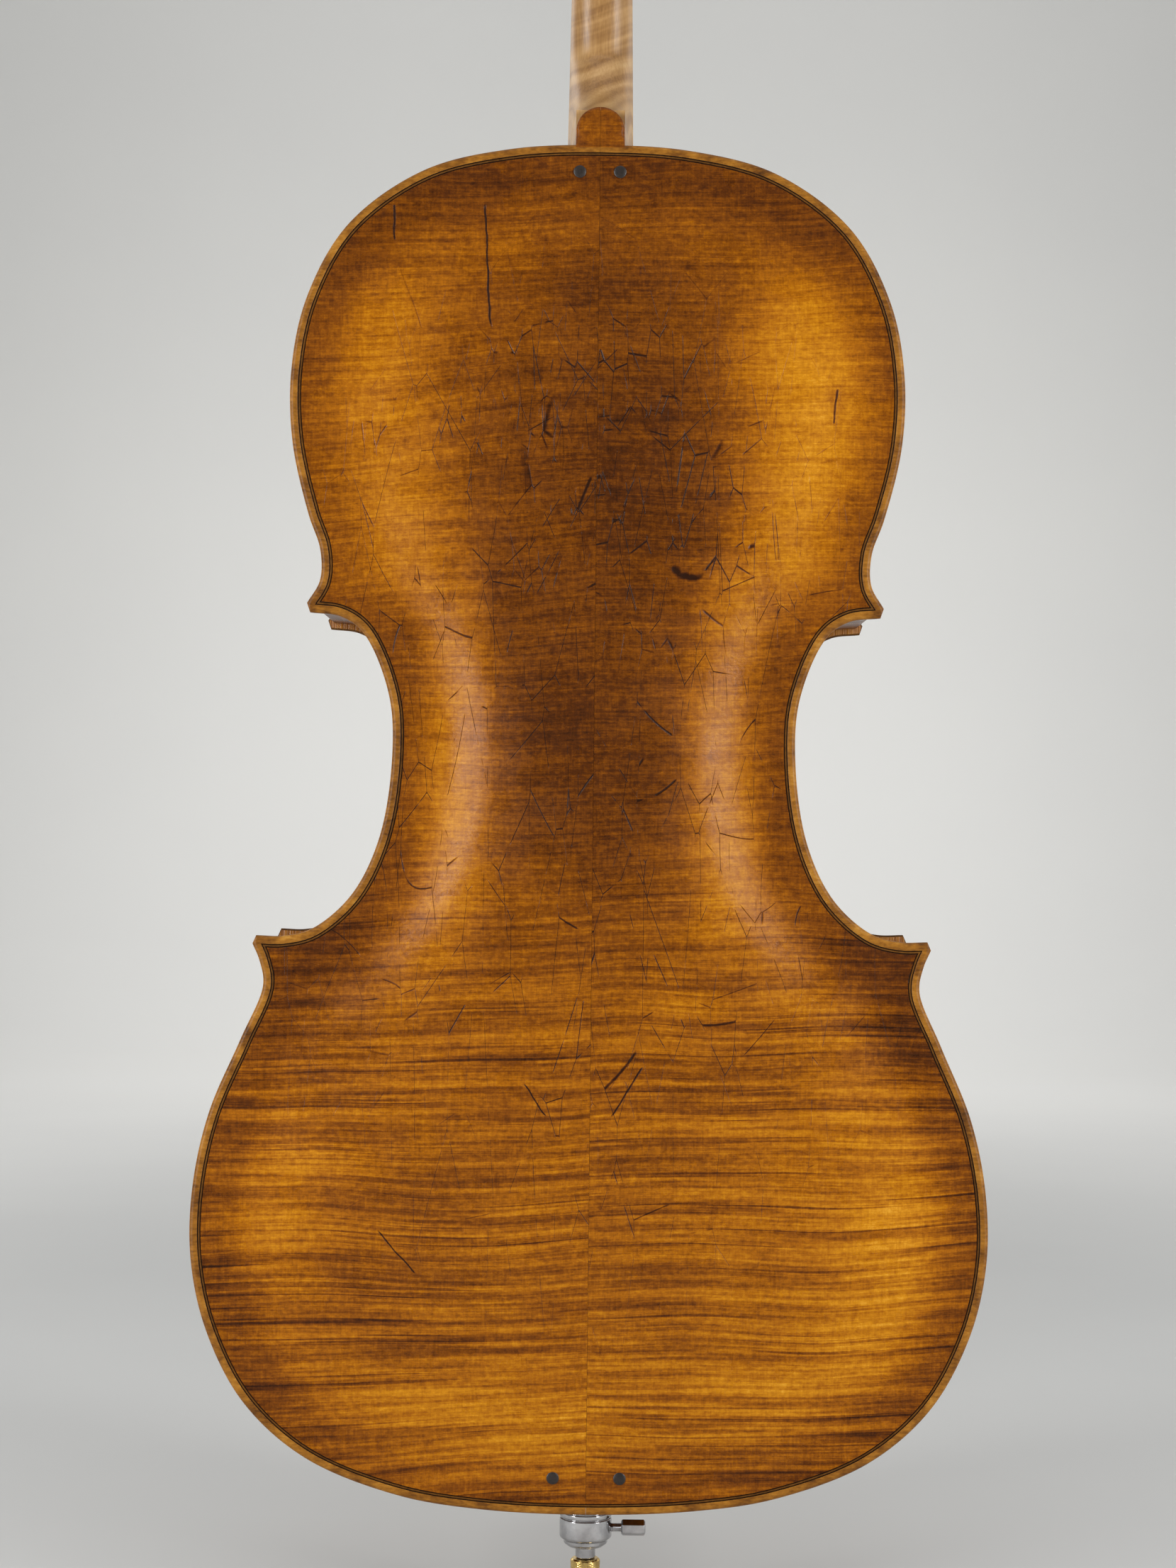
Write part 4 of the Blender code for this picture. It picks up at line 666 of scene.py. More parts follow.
FITTING = plain_wood("tailpiece_ebony", (0.007, 0.005, 0.004), (0.034, 0.024, 0.018),
                     (600, 600, 30), 0.26, 0.00006, 0.4)
ROSEWOOD = plain_wood("rosewood", (0.018, 0.005, 0.003), (0.090, 0.026, 0.010), (24, 500, 500),
                      0.34, 0.0001, 0.15)
BONE = plain_wood("bone", (0.45, 0.38, 0.27), (0.70, 0.64, 0.52), (300, 300, 300), 0.4)
PIN_WOOD = plain_wood("pin_wood", (0.004, 0.003, 0.002), (0.022, 0.012, 0.008), (900, 900, 900), 0.4)
PURFLING_BLACK = plain_wood("purfling_black", (0.002, 0.001, 0.0005), (0.010, 0.004, 0.001),
                            (300, 300, 300), 0.7, 0.0002, specular=0.06)
PURFLING_LIGHT = plain_wood("purfling_light", (0.05, 0.018, 0.002), (0.14, 0.055, 0.008),
                            (300, 300, 300), 0.7, 0.0002, specular=0.10)
GLUE_DARK = matte("glue_line", (0.035, 0.014, 0.005), 0.6)
CHROME = metal("chrome", (0.34, 0.34, 0.35), (0.58, 0.58, 0.59), 0.12)
BRASS = metal("brass", (0.45, 0.29, 0.08), (0.80, 0.58, 0.22), 0.26)
RUBBER = matte("rubber", (0.022, 0.022, 0.022), 0.8)
CORD = thread("cord", (0.045, 0.045, 0.05))
SILK = {"c": thread("silk_c", (0.30, 0.02, 0.03)), "g": thread("silk_g", (0.02, 0.10, 0.30)),
        "d": thread("silk_d", (0.02, 0.22, 0.08)), "a": thread("silk_a", (0.30, 0.05, 0.30))}
STRING_METAL = {"c": string_finish("string_c", 2200, (0.50, 0.49, 0.47)),
                "g": string_finish("string_g", 2600, (0.56, 0.55, 0.53)),
                "d": string_finish("string_d", 3000, (0.70, 0.70, 0.69)),
                "a": string_finish("string_a", 3400, (0.74, 0.74, 0.73))}


# ---------------------------------------------------------------- pieces

def add_piece(name, shape, finishes, replaced=(), body="body", smooth=35, bevel=0.0):
    """Makes a piece from a bmesh, riding on a body."""
    bmesh.ops.remove_doubles(shape, verts=shape.verts, dist=1e-7)
    bmesh.ops.recalc_face_normals(shape, faces=shape.faces)
    mesh = bpy.data.meshes.new(name)
    shape.to_mesh(mesh)
    shape.free()
    mesh.shade_smooth()
    mesh.set_sharp_from_angle(angle=math.radians(smooth))
    for finish in finishes if isinstance(finishes, (list, tuple)) else [finishes]:
        mesh.materials.append(finish)
    made = bpy.data.objects.new(name, mesh)
    bpy.context.scene.collection.objects.link(made)
    if bevel:
        step = made.modifiers.new("bevel", "BEVEL")
        step.width = bevel
        step.segments = 3
        step.limit_method = "ANGLE"
        step.angle_limit = math.radians(40)
    if body:
        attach(made, body)
    if replaced:
        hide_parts(*([replaced] if isinstance(replaced, str) else replaced))
    return made


def cut(made, shape, operation="DIFFERENCE", finish=None):
    """Cuts a bmesh from a piece, or joins it on, at once."""
    mesh = bpy.data.meshes.new("cutter")
    bmesh.ops.recalc_face_normals(shape, faces=shape.faces)
    shape.to_mesh(mesh)
    shape.free()
    if finish:
        mesh.materials.append(finish)
    other = bpy.data.objects.new("cutter", mesh)
    bpy.context.scene.collection.objects.link(other)
    step = made.modifiers.new("cut", "BOOLEAN")
    step.operation, step.solver, step.object = operation, "EXACT", other
    settle(made)
    bpy.data.objects.remove(other)


def settle(made):
    """Applies a piece's modifiers to its mesh."""
    bpy.context.view_layer.update()
    graph = bpy.context.evaluated_depsgraph_get()
    mesh = bpy.data.meshes.new_from_object(made.evaluated_get(graph))
    made.modifiers.clear()
    made.data = mesh


def dense(rows, steps, closed=False):
    """Rows with Catmull-Rom rows put in between, along the first axis."""
    rows = np.asarray(rows, float)
    if closed:
        padded = np.concatenate((rows[-1:], rows, rows[:2]))
    else:
        padded = np.concatenate((2 * rows[:1] - rows[1:2], rows, 2 * rows[-1:] - rows[-2:-1]))
    made = []
    for p0, p1, p2, p3 in zip(padded, padded[1:], padded[2:], padded[3:]):
        for t in np.linspace(0, 1, steps, endpoint=False):
            made.append(0.5 * (2 * p1 + (p2 - p0) * t + (2 * p0 - 5 * p1 + 4 * p2 - p3) * t ** 2
                               + (3 * p1 - p0 - 3 * p2 + p3) * t ** 3))
    if not closed:
        made.append(rows[-1])
    return np.array(made)


def circle(radius, sides, phase=0.0):
    """Points round a circle, as (u, v)."""
    turns = [math.tau * (i + phase) / sides for i in range(sides)]
    return [(radius * math.cos(turn), radius * math.sin(turn)) for turn in turns]


def skin(sections, closed_ends=True):
    """A solid through rings of points."""
    shape = bmesh.new()
    rings = [[shape.verts.new(Vector(point)) for point in section] for section in sections]
    for low, high in zip(rings, rings[1:]):
        for i in range(len(low)):
            j = (i + 1) % len(low)
            shape.faces.new((low[i], low[j], high[j], high[i]))
    if closed_ends:
        shape.faces.new(rings[0])
        shape.faces.new(rings[-1])
    return shape


def lathe(profile, sides, place=(0, 0, 0), axis="Z"):
    """A solid turned round an axis, from (radius, distance along) points."""
    sections = []
    for radius, along in profile:
        section = []
        for u, v in circle(radius, sides):
            spot = {"X": (along, u, v), "Y": (u, along, v), "Z": (u, v, along)}[axis]
            section.append(Vector(place) + Vector(spot))
        sections.append(section)
    return skin(sections)


def rounded(profile, corner=0.0004, steps=3):
    """A turned profile with its corners rounded."""
    points = [np.array(p, float) for p in profile]
    made = [points[0]]
    for before, here, after in zip(points, points[1:], points[2:]):
        one, two = before - here, after - here
        reach_one = min(corner, 0.45 * np.linalg.norm(one))
        reach_two = min(corner, 0.45 * np.linalg.norm(two))
        start = here + one / max(np.linalg.norm(one), 1e-9) * reach_one
        end = here + two / max(np.linalg.norm(two), 1e-9) * reach_two
        for t in np.linspace(0, 1, steps + 1):
            made.append((1 - t) ** 2 * start + 2 * t * (1 - t) * here + t ** 2 * end)
    made.append(points[-1])
    return made


# ---------------------------------------------------------------- plates

def soft_depth(flat):
    """Distance in from the fluting's outline, softened in the corners."""
    half = np.vstack(inset_bouts(FLUTE_INSET))
    whole = np.vstack((half, (half * (-1, 1))[::-1]))
    along = lengths(whole)
    samples = np.column_stack([np.interp(np.arange(0, along[-1], 0.002), along, whole[:, k])
                               for k in range(2)])
    depth = np.empty(len(flat))
    for start in range(0, len(flat), 4000):
        part = flat[start:start + 4000]
        square = ((part[:, None] - samples[None]) ** 2).sum(2) + 1e-8
        depth[start:start + 4000] = (1.333 / (0.002 * (square ** -2.5).sum(1))) ** 0.25
    return depth


EDGE_PROFILE = ((0.0006, 0.0), (0.0, 0.0007), (0.0, 0.0026), (0.0003, 0.0035), (0.0009, 0.0042),
                (0.0017, 0.0046), (0.0025, 0.0047), (0.0034, 0.0045), (0.0042, 0.0043))
CHANNEL = FLUTE_LEVEL + 0.0006
INNER_PURFLING = PURFLING_INSET + PURFLING_WIDTH
EDGE_ROWS = len(EDGE_PROFILE) + 1


def plate_grid(peak):
    """Rows of (x, height, level, inset) over a plate's outer surface, from its edge to the centre."""
    rows = []
    for inset, level in (*EDGE_PROFILE, (PURFLING_INSET, CHANNEL),
                         (PURFLING_INSET, CHANNEL - PURFLING_DEPTH),
                         (INNER_PURFLING, CHANNEL - PURFLING_DEPTH), (INNER_PURFLING, CHANNEL),
                         (0.0080, CHANNEL - 0.0003), (0.0100, FLUTE_LEVEL + 0.00008),
                         (FLUTE_INSET, FLUTE_LEVEL)):
        flat = ring(inset)
        rows.append(np.column_stack((flat, np.full(len(flat), level), np.full(len(flat), inset))))
    spine = np.column_stack((np.zeros_like(SPINE), SPINE))
    shares = np.concatenate((np.linspace(0, 0.3, 13)[1:], np.linspace(0.3, 1.0, 22)[1:]))
    for share in shares:
        flat = FLUTE_RING + share * (spine - FLUTE_RING)
        depth = soft_depth(flat)
        rows.append(np.column_stack((flat, arch_level(flat, depth, peak), depth + FLUTE_INSET)))
    return rows


def plate(name, side, face, peak, finishes, button=False):
    """Half a plate with its rounded rim, purfling channel and arch."""
    shape = bmesh.new()
    gap = 0.00006

    kept = shape.verts.layers.float.new("inset")

    def vert(x, height, level, inset=0.0):
        made = shape.verts.new((side * max(x, gap), face * (PLATE_Y + level), BODY_Z + height))
        made[kept] = inset
        return made

    rows = [[vert(*point) for point in row] for row in plate_grid(peak)]
    thick = BACK_THICK if face > 0 else TOP_THICK
    inner = []
    for flat in (ring(PLATFORM_INSET), ring(0.0010)):
        inner.append([vert(*point, 0.0) for point in flat])
    hollow = []
    platform = ring(PLATFORM_INSET)
    spine = np.column_stack((np.zeros_like(SPINE), SPINE))
    for share in (1.0, 0.75, 0.5, 0.3, 0.15, 0.06):
        flat = platform + share * (spine - platform)
        level = np.maximum(arch_level(flat, soft_depth(flat), peak) - thick, 0)
        hollow.append([vert(x, h, v) for (x, h), v in zip(flat, level)])
    rows = [*rows, *hollow, *inner]
    count = len(rows[0])
    for j, (one, two) in enumerate(zip(rows, rows[1:])):
        for i in range(count - 1):
            made = shape.faces.new((one[i], one[i + 1], two[i + 1], two[i]))
            made.material_index = 1 if j < EDGE_ROWS - 1 else 2 if j in (EDGE_ROWS, EDGE_ROWS + 1) else 0
    for i in range(count - 2 if button else count - 1):
        shape.faces.new((rows[-1][i], rows[-1][i + 1], rows[0][i + 1], rows[0][i])).material_index = 1
    for i in (0, -1):
        shape.faces.new([row[i] for row in rows])
    if button:
        centre = BODY_LENGTH + BUTTON_RISE - BUTTON_HALF
        profile = ((0.0006, 0.0), (0.0, 0.0006), (0.0, 0.0028), (0.0004, 0.0036), (0.0011, 0.0041),
                   (0.0022, 0.0044))
        arcs = []
        for inset, level in profile:
            arcs.append([vert((BUTTON_HALF - inset) * math.cos(t),
                              centre + (BUTTON_HALF - inset) * math.sin(t), level)
                         for t in np.linspace(0, math.pi / 2, 24)])
        feet = [rows[-1][-2], rows[0][-2], rows[1][-2], rows[2][-2], rows[3][-2], rows[5][-2]]
        tops = [rows[-1][-1], rows[0][-1], rows[1][-1], rows[2][-1], rows[3][-1], rows[5][-1]]
        strips = [[foot, *arc] for foot, arc in zip(feet, arcs)]
        for one, two in zip(strips, strips[1:]):
            for i in range(len(one) - 1):
                shape.faces.new((one[i], one[i + 1], two[i + 1], two[i])).material_index = 3
        shape.faces.new((*strips[-1], tops[-1])).material_index = 3
        shape.faces.new((*strips[0], tops[0])).material_index = 3
    return add_piece(name, shape, finishes, name.replace("_plate", "_half"), smooth=50)


def purfling(name, face):
    """Three inlaid strips: dark, light, dark."""
    shape = bmesh.new()
    top = CHANNEL - 0.00008
    loops = []
    bounds = (0.00004, 0.0006, 0.0014, PURFLING_WIDTH - 0.00004)
    profile = [(bounds[0], top - 0.0008), *((b, top) for b in bounds), (bounds[-1], top - 0.0008)]
    for inset, level in profile:
        half = ring(PURFLING_INSET + inset)
        whole = np.vstack((half, (half * (-1, 1))[::-1][1:-1]))
        loops.append([shape.verts.new((x, face * (PLATE_Y + level), BODY_Z + h)) for x, h in whole])
    for j, (one, two) in enumerate(zip(loops, loops[1:] + loops[:1])):
        for i in range(len(one)):
            k = (i + 1) % len(one)
            shape.faces.new((one[i], one[k], two[k], two[i])).material_index = int(j == 2)
    return add_piece(name, shape, (PURFLING_BLACK, PURFLING_LIGHT), name.replace("_strips", ""))


def curved_box(name, side, k, insets, trims, low, high, finish, replaced, bevel=0.0):
    """A strip bent along bout k between two insets."""
    rows = []
    for inset in insets:
        line = inset_bouts(inset)[k]
        total = lengths(line)[-1]
        rows.append([(side * x, BODY_Z + h)
                     for x, h in points_at(line, np.linspace(trims[0], total - trims[1], 150))])
    sections = []
    for outside, inside in zip(*rows):
        sections.append([(outside[0], low, outside[1]), (outside[0], high, outside[1]),
                         (inside[0], high, inside[1]), (inside[0], low, inside[1])])
    return add_piece(name, skin(sections), finish, replaced, bevel=bevel)


def f_hole_shapes(side):
    """Cutters for one f-hole: its curved stem, two eyes and two nicks."""
    stem = (((0.0545, 0.4150), 0.0034), ((0.0590, 0.4235), 0.0022), ((0.0650, 0.4245), 0.0022),
            ((0.0700, 0.4150), 0.0031), ((0.0740, 0.3920), 0.0041), ((0.0790, 0.3550), 0.0047),
            ((0.0845, 0.3160), 0.0043), ((0.0885, 0.2930), 0.0034), ((0.0940, 0.2838), 0.0023),
            ((0.1000, 0.2850), 0.0022), ((0.1040, 0.2930), 0.0040))
    places = [place for place, _ in stem]
    line = smooth_line(places, beyond(places[::-1]), beyond(places), 10)
    widths = np.interp(np.arange(len(line)) / 10, np.arange(len(stem)), [w for _, w in stem])
    along = np.gradient(line, axis=0)
    along /= np.linalg.norm(along, axis=1)[:, None]
    across = np.column_stack((-along[:, 1], along[:, 0])) * widths[:, None]
    outline = [(side * x, BODY_Z + h) for x, h in (*(line + across), *(line - across)[::-1])]
    low, high = -PLATE_Y - 0.035, -PLATE_Y + 0.004
    yield skin([[(x, y, z) for x, z in outline] for y in (low, high)])
    for (x, height), radius in (((0.0545, 0.4130), 0.0064), ((0.1036, 0.2968), 0.0083)):
        yield lathe(((radius, low - 0.001), (radius, high + 0.001)), 48,
                    (side * x, 0, BODY_Z + height), "Y")
    for height, reach in ((0.3600, 0.0066), (0.3480, -0.0066)):
        j = int(np.argmin(np.abs(line[:, 1] - height)))
        tip = line[j] + across[j] / np.linalg.norm(across[j]) * reach
        base = [line[j] + along[j] * s for s in (-0.0022, 0.0022)]
        outline = [(side * x, BODY_Z + h) for x, h in (base[0], base[1], tip)]
        yield skin([[(x, y, z) for x, z in outline] for y in (low - 0.002, high + 0.002)])


def heel_block(extra):
    """The neck's foot, as the notch that it needs in the top and the ribs."""
    low, high = TOP_Z - MORTISE_DEPTH - extra, TOP_Z + 0.012
    front, rear = neck_face(low) - 0.004, HEEL_BACK_Y + extra
    wide, narrow = ROOT_HALF + extra, BUTTON_HALF + extra
    return skin([[(-wide, front, z), (wide, front, z), (narrow, rear, z), (-narrow, rear, z)]
                 for z in (low, high)])


def build_plates(side, word):
    plate(f"back_{word}_plate", side, 1, BACK_PEAK,
          (BACK_MAPLE[side], EDGE_MAPLE, GLUE_DARK, BUTTON_MAPLE), True)
    top = plate(f"top_{word}_plate", side, -1, TOP_PEAK, (TOP_SPRUCE, SHADED_TOP_EDGE, GLUE_DARK))
    for shape in f_hole_shapes(side):
        cut(top, shape)
    cut(top, heel_block(CLEAR))
    inner, upper = -PLATE_Y + 0.0005, BODY_Z + SADDLE_DEPTH + CLEAR
    notch = ((inner, BODY_Z - 0.003), (inner, upper), (SADDLE_FRONT_Y, upper),
             (SADDLE_FRONT_Y, BODY_Z - 0.003))
    cut(top, skin([[(x, y, z) for y, z in notch]
                   for x in (-SADDLE_HALF - CLEAR, SADDLE_HALF + CLEAR)]))


def build_ribs(side, word):
    """Three ribs of one side, and the linings along their edge on the top."""
    insets = (OVERHANG, OVERHANG + RIB_THICK)
    lining_insets = (BLOCK_INSET, BLOCK_INSET + LINING_THICK)
    reach = RIB_HALF + 0.0002
    for k, place, trims, lining_trims in (
            (0, "lower", (0.00006, 0.0002), (0.048, 0.038)),
            (1, "waist", (0.0002, 0.0002), (0.038, 0.038)),
            (2, "upper", (0.0002, BUTTON_HALF / 2), (0.038, 0.056))):
        rib = curved_box(f"rib_{place}_{word}_strip", side, k, insets, trims, -reach, reach,
                         RIB_MAPLE, f"rib_{place}_{word}")
        if place == "upper":
            cut(rib, heel_block(CLEAR))
        curved_box(f"top_lining_{place}_{word}", side, k, lining_insets, lining_trims,
                   -RIB_HALF + GAP, -RIB_HALF + LINING_HEIGHT, WILLOW, (), 0.0004)


def build_pins():
    level = PLATE_Y + CHANNEL - 0.0002
    profile = ((0.0034, level - 0.006), (0.0034, level), (0.0031, level + 0.00022),
               (0.0012, level + 0.0003), (0.0002, level + 0.0003))
    for place, height, reach in (("upper", 0.740, 0.0111), ("lower", 0.0203, 0.0184)):
        for side, word in SIDES:
            shape = lathe(profile, 40, (side * reach, 0, BODY_Z + height), "Y")
            add_piece(f"pin_{place}_{word}_peg", shape, PIN_WOOD, f"pin_{place}_{word}")


# ---------------------------------------------------------------- neck, board and head

def build_neck():
    heel = ((TOP_Z - MORTISE_DEPTH, HEEL_BACK_Y, TOP_Z - MORTISE_DEPTH, 0),
            (TOP_Z + 0.008, HEEL_BACK_Y, TOP_Z + 0.020, 0),
            (TOP_Z + 0.024, 0.0370, TOP_Z + 0.0255, 0.15),
            (TOP_Z + 0.038, 0.0090, TOP_Z + 0.0330, 0.4),
            (TOP_Z + 0.051, -0.0150, TOP_Z + 0.0430, 0.7),
            (TOP_Z + 0.063, -0.0330, TOP_Z + 0.0560, 0.9),
            (TOP_Z + 0.077, -0.0445, TOP_Z + 0.0740, 1),
            (TOP_Z + 0.094, -0.0490, TOP_Z + 0.0940, 1))
    rows = list(heel)
    for z, depth in ((1.000, 0.0195), (1.075, 0.0182), (NECK_END_Z - 0.012, 0.0190),
                     (NECK_END_Z + GAP, 0.0215)):
        rows.append((z, neck_face(z) + depth, z, 1))
    fine = np.vstack((dense(rows[:2], 4)[:-1], dense(rows[1:], 10)))
    sections = []
    for front_z, rear_y, rear_z, roundness in fine:
        roundness = min(max(roundness, 0), 1)
        front = Vector((0, neck_face(front_z), front_z))
        rear = Vector((0, rear_y, rear_z))
        half = []
        for u in 1 - np.cos(np.linspace(0, math.pi / 2, 14)) ** 1.0:
            u = 1 - (1 - u) ** 1.6
            wedge = 1 - u * (1 - BUTTON_HALF / ROOT_HALF)
            bow = max(1 - u ** 2.2, 0) ** (1 / 2.2)
            full = min(board_half(front_z), ROOT_HALF)
            width = full * ((1 - roundness) * wedge + roundness * bow)
            half.append((max(width, 0.00005), front + (rear - front) * float(u)))
        sections.append([(w, p.y, p.z) for w, p in half] + [(-w, p.y, p.z) for w, p in half[::-1]])
    add_piece("neck_shaft", skin(sections), NECK_MAPLE, "neck", smooth=50)


def crowned(half, z, base, edge, radius, hollow=0.0):
    """A section with a crowned top and a hollow underside, in the plane at z."""
    rise = math.sqrt(radius ** 2 - half ** 2)
    section = [(-half, base, z)]
    for t in np.linspace(-1, 1, 25):
        x = t * half
        section.append((x, base - edge - math.sqrt(radius ** 2 - x ** 2) + rise, z))
    section.append((half, base, z))
    for t in np.linspace(0.8, -0.8, 9):
        section.append((t * half, base - hollow * math.cos(t * math.pi / 1.6), z))
    return section


def build_board():
    sections = []
    for z, hollow in ((NUT_Z, 0.0), (TOP_Z + 0.02, 0.0), (TOP_Z - 0.002, 0.0), (TOP_Z - 0.02, 0.0040),
                      (TOP_Z - 0.15, 0.0045), (NUT_Z - BOARD_LENGTH, 0.0045)):
        sections.append(crowned(board_half(z), z, neck_face(z) - 0.00005, BOARD_EDGE + 0.0002,
                                BOARD_RADIUS, hollow))
    add_piece("fingerboard_blank", skin(sections), EBONY, "fingerboard", smooth=30)
    sections = []
    for z, extra in ((NUT_Z + 0.00005, NUT_RISE), (NUT_Z + 0.0030, NUT_RISE + 0.0001),
                     (NUT_Z + 0.0044, NUT_RISE - 0.0003), (NUT_Z + 0.0066, -0.0018),
                     (NUT_Z + NUT_DEPTH, -0.0042)):
        sections.append(crowned(NUT_HALF, z, neck_face(z) - 0.00005, BOARD_EDGE + extra, BOARD_RADIUS))
    add_piece("nut_block", skin(sections), EBONY, "nut", bevel=0.0004)


def pegbox_shape():
    rows = ((0.0001, 0.0200, -0.0235, 0.0012), (0.009, 0.0229, -0.0285, 0.0030),
            (0.030, 0.0222, -0.0345, 0.0040), (0.060, 0.0207, -0.0375, 0.0050),
            (0.090, 0.0190, -0.0385, 0.0055), (0.118, 0.0172, -0.0380, 0.0045),
            (0.134, 0.0160, -0.0370, 0.0010), (0.146, 0.0150, -0.0360, -0.0085),
            (0.160, 0.0143, -0.0351, -0.0190), (0.166, 0.0136, -0.0342, -0.0225))
    slope = math.tan(HEAD_LEAN)
    sections = []
    for a, half, rear, front in dense(rows, 5):
        depth = 0.0016
        flat = [(half - 0.0006, front), (half, front - 0.0008), (half, rear + 0.0060)]
        flat += [(half - 0.0008, rear + 0.0034), (half * 0.93, rear + 0.0016), (half * 0.86, rear + 0.0008)]
        flat += [(half * s, rear + depth * (1 - ((s - 0.42) / 0.40) ** 2) * 0.75)
                 for s in (0.76, 0.66, 0.54, 0.42, 0.30, 0.18, 0.08)]
        flat += [(0.0004, rear + 0.0001)]
        loop = [(x, b) for x, b in flat] + [(-x, b) for x, b in flat[::-1]]
        blend_a = max(0.0, 1 - a / 0.009)
        sections.append([head_point(a + blend_a * (-b * slope), b, x) for x, b in loop])
    return skin(sections)


def slot_shape():
    sections = []
    for a, half, floor in dense(((0.002, 0.0105, 0.0005), (0.014, 0.0122, -0.0200),
                                 (0.034, 0.0119, -0.0265), (0.090, 0.0100, -0.0300),
                                 (0.120, 0.0088, -0.0270), (0.126, 0.0085, -0.0200)), 4):
        sections.append([head_point(a, 0.03, half), head_point(a, floor + 0.003, half),
                         head_point(a, floor, half - 0.003), head_point(a, floor, -half + 0.003),
                         head_point(a, floor + 0.003, -half), head_point(a, 0.03, -half)])
    return skin(sections)


def scroll_shape():
    """A spiral ledge on each side that climbs to the eye, with two flutes round its back."""
    per_turn = STATIONS_PER_TURN
    last = round(SPIRAL_TURNS * per_turn)
    opened = last - per_turn
    eye_radius = 0.8 * spiral_radius(math.tau * SPIRAL_TURNS)
    cove = 0.0036
    ledge = ((0.0, 0.10), (0.03, 0.0), (0.16, 0.0), (0.20, 0.06), (0.27, 0.34), (0.36, 0.66),
             (0.48, 0.90), (0.62, 1.0), (0.80, 0.97), (1.0, 0.80))
    shape = bmesh.new()

    def vert(station, radius, x):
        angle = math.tau * station / per_turn
        return shape.verts.new(head_point(EYE[0] + radius * math.sin(angle),
                                          EYE[1] - radius * math.cos(angle), x))

    def outer(station):
        return spiral_radius(math.tau * station / per_turn)

    rims = []
    for side in (-1, 1):
        rows, eye = [], []
        for i in range(last + 1):
            half = spiral_half(math.tau * i / per_turn)
            inner = outer(i + per_turn) if i <= opened else eye_radius
            width = outer(i) - inner
            rows.append([vert(i, outer(i) - share * width, side * (half - cove * down))
                         for share, down in ledge])
            if i > opened:
                eye.append(vert(i, eye_radius, side * spiral_half(math.tau * SPIRAL_TURNS)))
        low_half = spiral_half(math.tau * opened / per_turn) - cove * ledge[-1][1]
        step = vert(opened, eye_radius, side * low_half)
        final = len(ledge) - 1
        for i in range(last):
            one, two = rows[i], rows[i + 1]
            for k in range(final):
                corners = [one[k], two[k], two[k + 1], one[k + 1]]
                if i == opened and k == final - 1:
                    corners.insert(3, step)
                shape.faces.new(corners)
            if i < opened:
                shape.faces.new((one[-1], two[-1], rows[i + per_turn + 1][0], rows[i + per_turn][0]))
        shape.faces.new((step, rows[opened + 1][-1], eye[0], eye[-1], rows[last][-1]))
        for i in range(opened + 1, last):
            shape.faces.new((rows[i][-1], rows[i + 1][-1], eye[i - opened], eye[i - opened - 1]))
        shape.faces.new((rows[opened][-1], step, *reversed(rows[last])))
        shape.faces.new(eye)
        rims.append(rows)
    bands = []
    shares = np.linspace(-0.93, 0.93, 17)
    for i in range(per_turn):
        half = spiral_half(math.tau * i / per_turn)
        flutes = [vert(i, outer(i) - 0.0017 * abs(math.sin(math.pi * share / 0.93)), share * half)
                  for share in shares]
        bands.append([rims[0][i][0], *flutes, rims[1][i][0]])
    for one, two in zip(bands, bands[1:]):
        for k in range(len(one) - 1):
            shape.faces.new((one[k], two[k], two[k + 1], one[k + 1]))
    end, left, right = bands[-1], rims[0], rims[1]
    shape.faces.new((end[0], left[per_turn][0], left[0][-1], end[1]))
    shape.faces.new((end[1], left[0][-1], right[0][-1], *end[-2:1:-1]))
    shape.faces.new((end[-2], right[0][-1], right[per_turn][0], end[-1]))
    shape.faces.new((*bands[0], *right[0][1:], *reversed(left[0][1:])))
    return shape


def peg_rows(letter):
    a, b = PEG_PLACES[letter]
    half = float(np.interp(a, (0.009, 0.134), (0.0229, 0.0160)))
    rows = ((-half - 0.0015, 0.0052, 0.0052), (half + 0.009, PEG_RADIUS, PEG_RADIUS),
            (half + 0.0095, 0.0088, 0.0088), (half + 0.0130, 0.0092, 0.0092),
            (half + 0.0150, 0.0066, 0.0066), (half + 0.0185, 0.0058, 0.0056),
            (half + 0.0240, 0.0100, 0.0055), (half + 0.0320, 0.0140, 0.0052),
            (half + 0.0400, 0.0136, 0.0046), (half + 0.0460, 0.0095, 0.0038),
            (half + 0.0485, 0.0040, 0.0022))
    return a, b, half, rows


